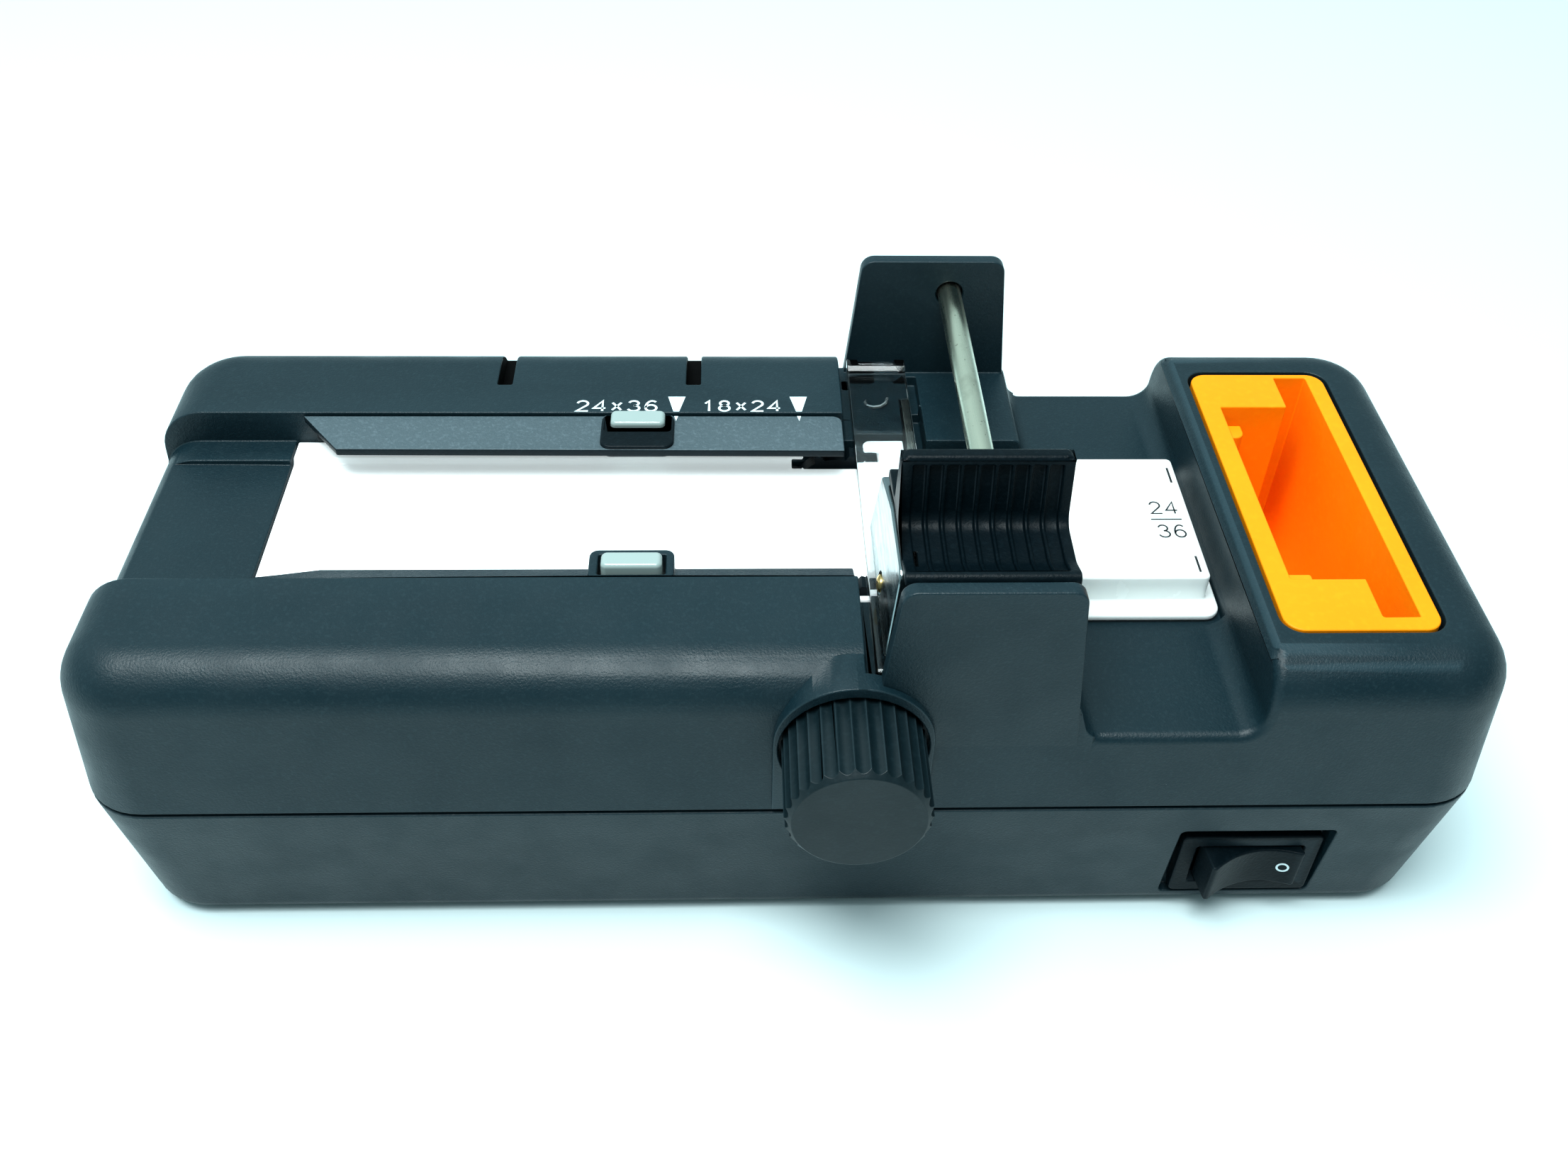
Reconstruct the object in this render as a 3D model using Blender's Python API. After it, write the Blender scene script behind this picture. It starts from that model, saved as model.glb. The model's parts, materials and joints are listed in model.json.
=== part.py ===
"""Slide-film cutter with a lit viewing panel, a roller knife and a slide-mount tray.

X runs along the film, Y away from the operator, Z up. Everything is modelled around the middle of
the housing, on the table, and hangs from one empty that puts the origin under the whole object.
"""
import math

import bmesh
import bpy
from mathutils import Matrix, Vector

MM = 0.001
GAP = 0.3                       # clearance between neighbouring pieces
FOOT_HEIGHT = 0.4               # the underside stands this far above the table

# Driving dimensions in millimetres
HALF_LENGTH = 93.3              # housing at its seam, along X
HOUSING_X = -1.0                # middle of the housing; X = 0 is the middle of the working layout
HALF_DEPTH = 38.0               # housing at its seam, along Y
TOP_Z = 48.7                    # rims and right-hand block
SEAM_LOW, SEAM_HIGH = 24.8, 25.4
UPPER_DRAFT, LOWER_DRAFT = math.radians(4.0), math.radians(5.7)
CORNER_RADIUS = 9.0
WALL = 2.2

FILM_Z = 43.5                   # rails that carry the film
PICTURE_Z = 42.7                # recessed band between the rails
RAIL_Y = 12.8                   # inner edge of each rail
CHANNEL_FRONT, CHANNEL_REAR = -18.0, 17.5
PANEL_LEFT, PANEL_RIGHT = -73.1, 16.8
PANEL_UNDERSIDE = 41.3
RIM_END_X = 7.5                 # both rims stop here, left of the knife
DECK_END_X = 34.4               # the deck under the knife drops to the saddle here
SADDLE_Z = 38.15
SADDLE_LEFT, SADDLE_RIGHT = 36.0, 58.2

CUT_X = 18.3                    # right edge of the fixed blade, where the film is cut
POST_LEFT, POST_RIGHT, POST_TOP = 10.8, 32.2, 63.5
POST_OUTER, POST_INNER = 37.2, 35.2
ROD_X, ROD_Z, ROD_RADIUS = 24.3, 58.0, 1.75
WHEEL_X, WHEEL_Y, WHEEL_Z, WHEEL_RADIUS = 18.9, -21.5, 50.5, 8.0

FEED_X, FEED_Z = 6.3, 37.5
SPROCKET_TEETH, SPROCKET_Y = 8, 14.1
SPROCKET_ROOT, SPROCKET_TIP = 5.85, 6.95
KNOB_RADIUS, KNOB_BACK, KNOB_FACE = 9.15, -36.5, -49.7
KNOB_FLUTES, FLUTE_DEPTH = 30, 0.5
BOSS_RADIUS, BOSS_Z = 10.2, 38.5      # arched hood that the knob turns in
BOSS_FRONT = -38.2
NOTCH_LEFT, NOTCH_RIGHT = 1.6, 10.5   # opening in the panel over each feed wheel
PANEL_CORNER_Y = 15.9           # the panel is narrower beside the rear feed wheel
RIM_MARKS, RIM_MARK_WIDTH, RIM_MARK_DEPTH = (-44.1, -15.8), 2.2, 3.4

INSERT_LEFT, INSERT_RIGHT = 61.3, 81.8
INSERT_FRONT, INSERT_REAR = -28.4, 27.5
INSERT_DEPTH = 30.0
SWITCH_X, SWITCH_Z, SWITCH_PIVOT_Y = 62.8, 10.4, -34.8
ROCKER_TILT = math.radians(10.4)

CELL_RADIUS, CELL_LENGTH, CELL_PITCH, CELL_LEFT = 7.1, 50.0, 15.2, -82.0
CELL_Z = 10.9
LAMP_XS = (-54.0, -20.0)
FOOT_PLACES = [(x, y) for x in (-73.0, 71.0) for y in (-28.4, 28.4)]
SCREW_PLACES = [(x, y) for x in (-86.2, 84.2) for y in (-27.4, 27.4)]
LAYOUT_SHIFT = (-HOUSING_X, 5.85)     # puts the middle of the whole box over the origin

MATERIALS = {                   # colour, roughness, metallic
    "black": ((0.018, 0.022, 0.025), 0.55, 0.0),
    "grey": ((0.035, 0.042, 0.046), 0.6, 0.0),
    "milk": ((0.90, 0.92, 0.92), 0.4, 0.0),
    "clear": ((0.75, 0.80, 0.82), 0.1, 0.0),
    "orange": ((1.0, 0.27, 0.0), 0.45, 0.0),
    "steel": ((0.55, 0.53, 0.48), 0.3, 1.0),
    "brass": ((0.75, 0.55, 0.25), 0.35, 1.0),
    "rubber": ((0.03, 0.03, 0.03), 0.9, 0.0),
    "cell": ((0.10, 0.12, 0.14), 0.4, 0.0),
}


def clear_scene():
    for old in list(bpy.data.objects):
        bpy.data.objects.remove(old, do_unlink=True)


def make_collection(name):
    group = bpy.data.collections.new(name)
    bpy.context.scene.collection.children.link(group)
    return group


clear_scene()
PARTS = make_collection("slide_film_cutter")
TOOLS = make_collection("cutters")
ORIGIN = bpy.data.objects.new("cutter_origin", None)
ORIGIN.location = (LAYOUT_SHIFT[0] * MM, LAYOUT_SHIFT[1] * MM, 0.0)
PARTS.objects.link(ORIGIN)


def from_bmesh(name, shape):
    """Turn a bmesh in millimetres into an object in metres, in the tools' collection."""
    bmesh.ops.scale(shape, vec=(MM, MM, MM), verts=shape.verts)
    bmesh.ops.recalc_face_normals(shape, faces=shape.faces)
    mesh = bpy.data.meshes.new(name)
    shape.to_mesh(mesh)
    shape.free()
    thing = bpy.data.objects.new(name, mesh)
    thing.hide_render = True
    thing.display_type = "WIRE"
    thing.parent = ORIGIN
    TOOLS.objects.link(thing)
    return thing


def box(name, low, high):
    shape = bmesh.new()
    bmesh.ops.create_cube(shape, size=1.0)
    size = Vector(high) - Vector(low)
    middle = (Vector(high) + Vector(low)) / 2
    bmesh.ops.scale(shape, vec=size, verts=shape.verts)
    bmesh.ops.translate(shape, vec=middle, verts=shape.verts)
    return from_bmesh(name, shape)


def rod(name, radius, start, end, sides=24, end_radius=None):
    """A cylinder or cone from one point to another."""
    start, end = Vector(start), Vector(end)
    along = end - start
    shape = bmesh.new()
    top = radius if end_radius is None else end_radius
    bmesh.ops.create_cone(shape, cap_ends=True, segments=sides, radius1=radius, radius2=top,
                          depth=along.length)
    turn = Vector((0, 0, 1)).rotation_difference(along).to_matrix().to_4x4()
    place = Matrix.Translation((start + end) / 2) @ turn
    bmesh.ops.transform(shape, matrix=place, verts=shape.verts)
    return from_bmesh(name, shape)


def bevelled_block(name, low, high, top_inset, corner, top_round=0.0, bottom_round=0.0, segments=4):
    """A drafted box with round corners in plan; top_inset is how far its top draws in."""
    shape = bmesh.new()
    bmesh.ops.create_cube(shape, size=1.0)
    size = Vector(high) - Vector(low)
    bmesh.ops.scale(shape, vec=size, verts=shape.verts)
    bmesh.ops.translate(shape, vec=(Vector(high) + Vector(low)) / 2, verts=shape.verts)
    for vert in shape.verts:
        if vert.co.z > (low[2] + high[2]) / 2:
            vert.co.x -= math.copysign(top_inset, vert.co.x - (low[0] + high[0]) / 2)
            vert.co.y -= math.copysign(top_inset, vert.co.y - (low[1] + high[1]) / 2)
    uprights = [e for e in shape.edges if abs(e.verts[0].co.z - e.verts[1].co.z) > size.z / 2]
    bmesh.ops.bevel(shape, geom=uprights, offset=corner, segments=segments, profile=0.5,
                    affect="EDGES")
    for level, radius in ((high[2], top_round), (low[2], bottom_round)):
        if radius > 0:
            loop = [e for e in shape.edges if all(abs(v.co.z - level) < 1e-4 for v in e.verts)]
            bmesh.ops.bevel(shape, geom=loop, offset=radius, segments=segments, profile=0.5,
                            affect="EDGES")
    return from_bmesh(name, shape)


def round_corners(points, segments=4):
    """Replace each (a, b, radius) corner of an outline by an arc."""
    outline = []
    for index, (a, b, radius) in enumerate(points):
        here = Vector((a, b))
        if radius <= 0:
            outline.append(here)
            continue
        before = (Vector(points[index - 1][:2]) - here).normalized()
        after = (Vector(points[(index + 1) % len(points)][:2]) - here).normalized()
        half = before.angle(after) / 2
        centre = here + (before + after).normalized() * radius / math.sin(half)
        first = here + before * radius / math.tan(half) - centre
        last = here + after * radius / math.tan(half) - centre
        sweep = first.angle_signed(last)
        for step in range(segments + 1):
            spin = Matrix.Rotation(-sweep * step / segments, 2)
            outline.append(centre + spin @ first)
    return outline


def prism(name, points, low, high, axis="Y", segments=4):
    """Extrude a flat outline of (a, b, radius) corners along an axis, between low and high."""
    outline = round_corners(points, segments)
    curve = bpy.data.curves.new(name, "CURVE")
    curve.dimensions = "2D"
    curve.fill_mode = "BOTH"
    curve.extrude = (high - low) / 2 * MM
    line = curve.splines.new("POLY")
    line.points.add(len(outline) - 1)
    for point, (a, b) in zip(line.points, outline):
        point.co = (a * MM, b * MM, 0.0, 1.0)
    line.use_cyclic_u = True
    source = bpy.data.objects.new(name, curve)
    bpy.context.scene.collection.objects.link(source)
    bpy.context.view_layer.update()
    solid = source.evaluated_get(bpy.context.evaluated_depsgraph_get())
    mesh = bpy.data.meshes.new_from_object(solid)
    bpy.data.objects.remove(source, do_unlink=True)
    columns = {"X": (Vector((0, 1, 0)), Vector((0, 0, 1)), Vector((1, 0, 0))),
               "Y": (Vector((1, 0, 0)), Vector((0, 0, 1)), Vector((0, -1, 0))),
               "Z": (Vector((1, 0, 0)), Vector((0, 1, 0)), Vector((0, 0, 1)))}
    turn = Matrix(columns[axis]).transposed().to_4x4()
    middle = (high + low) / 2 * MM
    shift = {"X": (middle, 0, 0), "Y": (0, middle, 0), "Z": (0, 0, middle)}[axis]
    shape = bmesh.new()
    shape.from_mesh(mesh)
    bmesh.ops.remove_doubles(shape, verts=shape.verts, dist=1e-7)
    bmesh.ops.transform(shape, matrix=Matrix.Translation(shift) @ turn, verts=shape.verts)
    bmesh.ops.scale(shape, vec=(1 / MM, 1 / MM, 1 / MM), verts=shape.verts)
    return from_bmesh(name, shape)


def rectangle(a_low, b_low, a_high, b_high, radius=0.0):
    return [(a_low, b_low, radius), (a_high, b_low, radius), (a_high, b_high, radius),
            (a_low, b_high, radius)]


def combine(target, tool, how):
    step = target.modifiers.new(tool.name, "BOOLEAN")
    step.operation = how
    step.solver = "EXACT"
    step.object = tool


def cut(target, *tools):
    for tool in tools:
        combine(target, tool, "DIFFERENCE")


def join(target, *tools):
    for tool in tools:
        combine(target, tool, "UNION")


def material(kind, name):
    colour, roughness, metallic = MATERIALS[kind]
    skin = bpy.data.materials.new(name)
    skin.use_nodes = True
    shader = skin.node_tree.nodes["Principled BSDF"]
    shader.inputs["Base Color"].default_value = (*colour, 1.0)
    shader.inputs["Roughness"].default_value = roughness
    shader.inputs["Metallic"].default_value = metallic
    return skin


def keep(thing, kind, smooth=False):
    """Move a finished solid from the tools to the parts and give it its material."""
    TOOLS.objects.unlink(thing)
    PARTS.objects.link(thing)
    thing.hide_render = False
    thing.display_type = "TEXTURED"
    thing.data.materials.append(material(kind, thing.name + "_material"))
    if smooth:
        thing.data.shade_smooth()
        thing.data.set_sharp_from_angle(angle=math.radians(35))
    return thing


def set_pivot(thing, x, y, z):
    """Put a moving piece's origin on its joint axis without moving its shape."""
    place = Vector((x, y, z)) * MM
    thing.data.transform(Matrix.Translation(-place))
    thing.location = place


def upper_shell():
    inset = (TOP_Z - SEAM_HIGH) * math.tan(UPPER_DRAFT)
    left, right = HOUSING_X - HALF_LENGTH, HOUSING_X + HALF_LENGTH
    shell = bevelled_block("top_shell", (left, -HALF_DEPTH, SEAM_HIGH), (right, HALF_DEPTH, TOP_Z),
                           inset, CORNER_RADIUS, top_round=6.5)
    inner_y = HALF_DEPTH - WALL - 1.2
    cut(shell,
        box("cavity_low", (left + 3.4, -inner_y, 20), (right - 3.4, inner_y, 35.9)),
        box("cavity_panel", (-88, -16, 30), (58.5, 16, 36.0)),
        box("cavity_window", (-70, -15, 30), (-4, 15, 44)),
        box("cavity_front_rim", (-86, -33, 30), (-5, -20.5, 44.5)),
        box("cavity_rear_rim", (-86, 20.5, 30), (5, 33, 44.5)),
        box("cavity_right", (84.5, -28, 30), (88, 28, 44.5)))
    deck = [(RIM_END_X, 70, 0), (RIM_END_X, FILM_Z, 0.8), (DECK_END_X, FILM_Z, 1.2),
            (SADDLE_LEFT, SADDLE_Z, 2.5), (SADDLE_RIGHT, SADDLE_Z, 3.0), (58.6, TOP_Z, 0),
            (58.6, 70, 0)]
    wall = left + inset * (FILM_Z - SEAM_HIGH) / (TOP_Z - SEAM_HIGH)
    film = [(RIM_END_X + 1, 70, 0), (wall - 20, 70, 0), (wall - 20, 31, 0), (wall - 0.8, 31, 0),
            (wall, FILM_Z, 6.0), (RIM_END_X + 1, FILM_Z, 0)]
    cut(shell,
        prism("deck_space", deck, -60, 60),
        prism("film_space", film, CHANNEL_FRONT, CHANNEL_REAR, segments=5),
        box("picture_space", (-110, -RAIL_Y, PICTURE_Z), (PANEL_LEFT + 1, RAIL_Y, 50)),
        *[box(f"rim_mark_{index}", (x, 24.6, TOP_Z - RIM_MARK_DEPTH), (x + RIM_MARK_WIDTH, 60, 60))
          for index, x in enumerate(RIM_MARKS)],
        box("panel_seat", (PANEL_LEFT - GAP, -17.5, PANEL_UNDERSIDE - GAP),
            (DECK_END_X + 5, 17.5, 50)),
        box("block_seat", (DECK_END_X + 1, -16.6, SADDLE_Z), (SADDLE_RIGHT, 16.6, 50)),
        box("blade_seat", (PANEL_RIGHT, -26.3, 40.2), (20.3, 26.3, 50)),
        box("wheel_slot", (CUT_X + 0.1, -34, 41.8), (20.2, 34, 50)))
    join(shell, front_lip(), front_surround(), *posts(), *knob_boss(), shaft_bearing())
    cut(shell, *feed_openings(), rod_pockets(), *strip_openings(), front_pad_slot())
    for index, (x, y) in enumerate(SCREW_PLACES):
        join(shell, rod(f"screw_boss_{index}", 3.2, (x, y, 8.4), (x, y, 40), sides=16))
        cut(shell, rod(f"screw_pilot_{index}", 1.6, (x, y, 0), (x, y, 18.5), sides=12))
    cut(shell, prism("insert_space", rectangle(INSERT_LEFT - GAP, INSERT_FRONT - GAP,
                                               INSERT_RIGHT + GAP, INSERT_REAR + GAP, 2.8),
                     TOP_Z - INSERT_DEPTH - GAP, 60, axis="Z"))
    return keep(shell, "black", smooth=True)


def front_lip():
    """The lip that keeps the film down along the front rim, with its slanted left end."""
    outline = [(CHANNEL_FRONT - 1, 44.3, 0), (-15.0, 44.3, 0), (-15.0, 45.6, 0),
               (CHANNEL_FRONT, 48.4, 0), (CHANNEL_FRONT - 1, 48.4, 0)]
    lip = prism("front_lip", outline, -71.7, RIM_END_X - 0.4, axis="X")
    slant = [(-80, -14, 0), (-60, -14, 0), (-71.9, -18.2, 0), (-80, -18.2, 0)]
    cut(lip, prism("lip_slant", slant, 40, 55, axis="Z"),
        box("lip_tooth_relief", (-0.5, -16.2, 43), (15, -10, 45.4)))
    return lip


def front_surround():
    return prism("front_surround", rectangle(-27.7, -18.5, -16.5, -12.7, 1.2), 44.3, 48.7, axis="Z")


def front_pad_slot():
    return box("front_pad_slot", (-26.5, -17.5, 44.0), (-17.6, -13.7, 60))


def post_outline(base):
    """One guide post seen along Y: it widens downward and its top corners are round."""
    spread = (POST_TOP - base) * math.tan(math.radians(5.5))
    return [(POST_LEFT - spread, base, 0), (POST_RIGHT + spread, base, 0),
            (POST_RIGHT, POST_TOP, 2.0), (POST_LEFT, POST_TOP, 2.0)]


def posts():
    front = prism("front_post", post_outline(33.0), -POST_OUTER, -POST_INNER)
    rear = prism("rear_post", post_outline(33.0), POST_INNER, POST_OUTER)
    return [front, rear]


def hood_outline(right):
    """Half-round hood on straight sides, seen along Y, cut off at its right."""
    outline = [(FEED_X - BOSS_RADIUS, SEAM_HIGH + GAP, 0)]
    for step in range(19):
        angle = math.pi * (1 - step / 18)
        x = FEED_X + BOSS_RADIUS * math.cos(angle)
        if x < right:
            outline.append((x, BOSS_Z + BOSS_RADIUS * math.sin(angle), 0))
    if right < FEED_X + BOSS_RADIUS:
        rise = math.sqrt(BOSS_RADIUS ** 2 - (right - FEED_X) ** 2)
        outline.append((right, BOSS_Z + rise, 0))
    else:
        outline.append((FEED_X + BOSS_RADIUS, BOSS_Z, 0))
    outline.append((min(right, FEED_X + BOSS_RADIUS), SEAM_HIGH + GAP, 0))
    return outline


def knob_boss():
    """The hood: shallow beside the knife, and reaching back under the front rim on its left."""
    front = prism("knob_boss", hood_outline(100), BOSS_FRONT, -35.3)
    back = prism("knob_boss_back", hood_outline(RIM_END_X - 0.1), BOSS_FRONT, -30.5)
    return [front, back]


def shaft_bearing():
    return box("shaft_bearing", (0.5, 20.8, 30), (13.1, 24.0, 42))


def rod_pockets():
    reach = POST_OUTER - 0.7
    return rod("rod_pocket", ROD_RADIUS + GAP, (ROD_X, -reach, ROD_Z), (ROD_X, reach, ROD_Z))


def feed_openings():
    """Bore for the feed shaft, recess for the knob, and slots for both sprockets."""
    tools = [rod("shaft_bore", 2.3, (FEED_X, -45, FEED_Z), (FEED_X, 27, FEED_Z), sides=20),
             rod("knob_recess", KNOB_RADIUS + 0.4, (FEED_X, -60, FEED_Z),
                 (FEED_X, KNOB_BACK + GAP, FEED_Z), sides=48)]
    for side in (-1, 1):
        y = side * SPROCKET_Y
        tools.append(box("sprocket_slot", (FEED_X - 7.9, y - 1.7, 28), (FEED_X + 7.9, y + 1.7, 46)))
    return tools


def strip_openings():
    """End slots for the clear strip's legs and the pockets for its springs."""
    tools = [box("front_leg_slot", (8.5, -34.9, 39.2), (18.2, -32.6, 50)),
             box("rear_leg_slot", (8.5, 30.6, 39.2), (18.2, 32.9, 50))]
    for y in (-22.5, 25.5):
        tools.append(rod("strip_spring_pocket", 2.6, (13.2, y, 38.6), (13.2, y, 50), sides=20))
    return tools


def lower_shell():
    inset = (SEAM_LOW - FOOT_HEIGHT) * math.tan(LOWER_DRAFT)
    left, right = HOUSING_X - HALF_LENGTH, HOUSING_X + HALF_LENGTH
    shell = bevelled_block("base_shell", (left, -HALF_DEPTH, FOOT_HEIGHT),
                           (right, HALF_DEPTH, SEAM_LOW), 0.0, CORNER_RADIUS, bottom_round=2.6)
    for vert in shell.data.vertices:
        drop = SEAM_LOW * MM - vert.co.z
        vert.co.x -= math.copysign(drop * math.tan(LOWER_DRAFT), vert.co.x - HOUSING_X * MM)
        vert.co.y -= math.copysign(drop * math.tan(LOWER_DRAFT), vert.co.y)
    step = WALL + inset
    cut(shell, box("base_cavity", (left + step, step - HALF_DEPTH, FOOT_HEIGHT + 2.6),
                   (right - step, HALF_DEPTH - step, 40)))
    join(shell, box("cell_divider", (-28.2, -24, 2), (-26.6, 24, 17)),
         box("switch_wall", (49.5, -34.9, 3.0), (75.7, -32.4, 21.5)))
    for index, (x, y) in enumerate(SCREW_PLACES):
        join(shell, rod(f"base_boss_{index}", 4.6, (x, y, 2), (x, y, 8.0), sides=16))
    cut(shell,
        prism("switch_recess", rectangle(51.9, 3.4, 73.3, 19.1, 0.8), -60, -34.2),
        box("switch_cutout", (SWITCH_X - 8.7, -40, 5.2), (SWITCH_X + 8.7, -30, 15.6)),
        box("door_opening", (-120, -22.0, -5), (-30.0, 22.0, 1.5)),
        box("door_groove", (-120, -24.3, 1.35), (-29.0, 24.3, 3.2)),
        box("cell_opening", (-84.0, -23.0, 1.35), (-29.0, 23.0, 6.0)))
    for index, (x, y) in enumerate(SCREW_PLACES):
        cut(shell, rod(f"screw_head_space_{index}", 3.0, (x, y, 0), (x, y, 5.0), sides=16),
            rod(f"screw_hole_{index}", 1.6, (x, y, 0), (x, y, 12), sides=12))
    for index, (x, y) in enumerate(FOOT_PLACES):
        cut(shell, rod(f"foot_recess_{index}", 4.3, (x, y, 0), (x, y, 1.5), sides=20))
    return keep(shell, "black", smooth=True)


def battery_door():
    """A plate that slides out to the left, wider above than below so that it can't fall out."""
    door = box("battery_door", (-89.4, -21.7, FOOT_HEIGHT), (-30.3, 21.7, 1.8))
    join(door, box("door_tongue", (-89.4, -24.0, 1.65), (-29.3, 24.0, 2.9)))
    for step in range(5):
        x = -80 + step * 2.0
        cut(door, box(f"door_grip_{step}", (x, -8, -0.5), (x + 1.0, 8, 1.0)))
    return keep(door, "black")


def rear_guide():
    """Thin plate over the rear rail, slanted at its left end, with a raised frame for its pad."""
    outline = [(-71.5, 17.2, 0), (-65.3, 9.3, 0), (7.3, 8.9, 0), (7.3, 17.2, 1.5)]
    plate = prism("film_guide_rear", outline, 47.1, 48.3, axis="Z")
    join(plate, box("guide_web", (-70.0, 16.4, 44.3), (7.0, 17.2, 47.6)),
         prism("guide_frame", rectangle(-27.9, 9.2, -17.3, 17.2, 1.2), 46.8, 48.8, axis="Z"))
    cut(plate, box("guide_pad_slot", (-27.0, 13.2, 40), (-18.2, 17.5, 60)),
        box("guide_tooth_relief", (-1.2, 11.8, 40), (15, 16.4, 45.0)))
    return keep(plate, "grey")


def light_panel():
    panel = box("light_panel", (PANEL_LEFT, -17.2, PANEL_UNDERSIDE), (PANEL_RIGHT - GAP, 17.2, FILM_Z))
    cut(panel, box("panel_picture_band", (-90, -RAIL_Y, PICTURE_Z), (40, RAIL_Y, 50)))
    for side in (-1, 1):
        y = side * SPROCKET_Y
        cut(panel, box("tooth_slot", (NOTCH_LEFT, y - 2.2, 30), (NOTCH_RIGHT, y + 2.2, 50)),
            box("tooth_slot_below", (FEED_X - 6.4, y - 2.2, 30), (FEED_X + 6.4, y + 2.2, 43.2)))
    corner = [(NOTCH_LEFT, 11.8, 0), (NOTCH_RIGHT, 11.8, 0), (NOTCH_RIGHT, PANEL_CORNER_Y, 1.2),
              (30, PANEL_CORNER_Y, 0), (30, 20, 0), (NOTCH_LEFT, 20, 0)]
    cut(panel, prism("rear_corner", corner, 30, 60, axis="Z"))
    for y in (-22.5, 25.5):
        cut(panel, rod("panel_spring_clear", 3.0, (13.2, y, 30), (13.2, y, 50), sides=12))
    return keep(panel, "milk")


def stop_block():
    """White block right of the knife: the cut frame lies on it, up to the length marks."""
    block = box("stop_block", (20.5, -13.1, PANEL_UNDERSIDE), (56.4, 13.1, FILM_Z))
    join(block, box("block_body", (36.6, -13.1, SADDLE_Z + GAP), (56.4, 13.1, 42.0)),
         box("block_flange", (36.9, -16.3, SADDLE_Z + GAP), (57.9, 16.3, 39.4)))
    return keep(block, "milk")


def counter_blade():
    blade = box("counter_blade", (PANEL_RIGHT + GAP, -26.0, 40.5), (CUT_X, 26.0, FILM_Z + 0.1))
    return keep(blade, "steel")


def guide_rod():
    reach = POST_OUTER - 1.0
    return keep(rod("guide_rod", ROD_RADIUS, (ROD_X, -reach, ROD_Z), (ROD_X, reach, ROD_Z)),
                "steel", smooth=True)


def mount_tray():
    """Orange tray for slide mounts: a full-length slot and a sloped hollow left of it."""
    outline = rectangle(INSERT_LEFT, INSERT_FRONT, INSERT_RIGHT, INSERT_REAR, 2.5)
    tray = prism("mount_tray", outline, TOP_Z - INSERT_DEPTH, TOP_Z - 0.1, axis="Z")
    slope = [(64.4, 60, 0), (64.4, 44.5, 0), (75.0, 24.0, 0), (75.0, 60, 0)]
    cut(tray, box("mount_slot", (74.4, -26.0, 21.5), (79.3, 26.6, 60)),
        prism("tray_slope", slope, -18.8, 19.1))
    return keep(tray, "orange")


def pressure_strip():
    """Clear bar that holds the film beside the fixed blade; both ends turn down into slots."""
    outline = [(-34.5, 40.2, 0), (-33.0, 40.2, 0), (-33.0, 45.2, 0.6), (31.0, 45.2, 0.6),
               (31.0, 40.2, 0), (32.5, 40.2, 0), (32.5, 48.2, 0.8), (30.4, 48.2, 0.4),
               (29.6, 47.6, 0), (-34.5, 47.6, 1.2)]
    strip = prism("pressure_strip", outline, 8.9, 17.9, axis="X")
    return keep(strip, "clear")


def coil(name, radius, wire, start, end, turns, kind):
    """A coil spring from start to end, made as one tube."""
    start, end = Vector(start), Vector(end)
    turn = Vector((0, 0, 1)).rotation_difference(end - start).to_matrix()
    steps = int(turns * 10)
    curve = bpy.data.curves.new(name, "CURVE")
    curve.dimensions = "3D"
    curve.bevel_depth = wire * MM
    curve.bevel_resolution = 1
    curve.use_fill_caps = True
    line = curve.splines.new("POLY")
    line.points.add(steps)
    for index, point in enumerate(line.points):
        angle = math.tau * turns * index / steps
        ring = Vector((math.cos(angle), math.sin(angle), 0)) * radius
        rise = Vector((0, 0, (end - start).length * index / steps))
        spot = (start + turn @ (ring + rise)) * MM
        point.co = (*spot, 1.0)
    spring = bpy.data.objects.new(name, curve)
    spring.parent = ORIGIN
    spring.data.materials.append(material(kind, name + "_material"))
    PARTS.objects.link(spring)
    return spring


def film_pads():
    rear = bevelled_block("film_pad_rear", (-26.7, 13.5, 44.4), (-18.5, 17.1, 49.7), 0.15, 0.8,
                          top_round=0.5, segments=2)
    front = bevelled_block("film_pad_front", (-26.2, -17.2, 44.4), (-17.9, -14.0, 49.7), 0.15, 0.8,
                           top_round=0.5, segments=2)
    keep(rear, "clear")
    keep(front, "clear")


def carriage():
    """Knife carriage: it runs on the rod, and its top is a saddle for the thumb."""
    outline = [(-33.2, 44.5, 0.8), (-9.2, 44.5, 0.8), (-10.2, 60.8, 1.5), (-17.3, 61.0, 1.5),
               (-18.9, 70.4, 0.7), (-20.8, 70.4, 0.7), (-22.4, 61.4, 1.2), (-29.0, 61.0, 2.0),
               (-32.6, 62.2, 0.7), (-33.4, 58.0, 0)]
    body = prism("cutter_carriage", outline, 11.4, 32.4, axis="X")
    cut(body,
        prism("guard_clearance", [(-60, 40, 0), (0, 40, 0), (0, 58.2, 0), (-8.5, 58.2, 0),
                                  (-17.8, 60.5, 0), (-60, 60.9, 0)], 0, 13.4, axis="X"),
        box("strip_clearance", (0, -60, 40), (CUT_X + 0.1, 60, 48.7)),
        prism("wheel_space", [(-31.5, 40, 0), (-11.5, 40, 0), (-11.5, 59.4, 3), (-31.5, 59.4, 3)],
              WHEEL_X - 0.9, WHEEL_X + 0.9, axis="X"),
        rod("rod_bore", ROD_RADIUS + GAP, (ROD_X, -60, ROD_Z), (ROD_X, 60, ROD_Z)),
        rod("axle_bore", 1.5, (10, WHEEL_Y, WHEEL_Z), (25, WHEEL_Y, WHEEL_Z), sides=16))
    return keep(body, "black", smooth=True)


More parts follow.
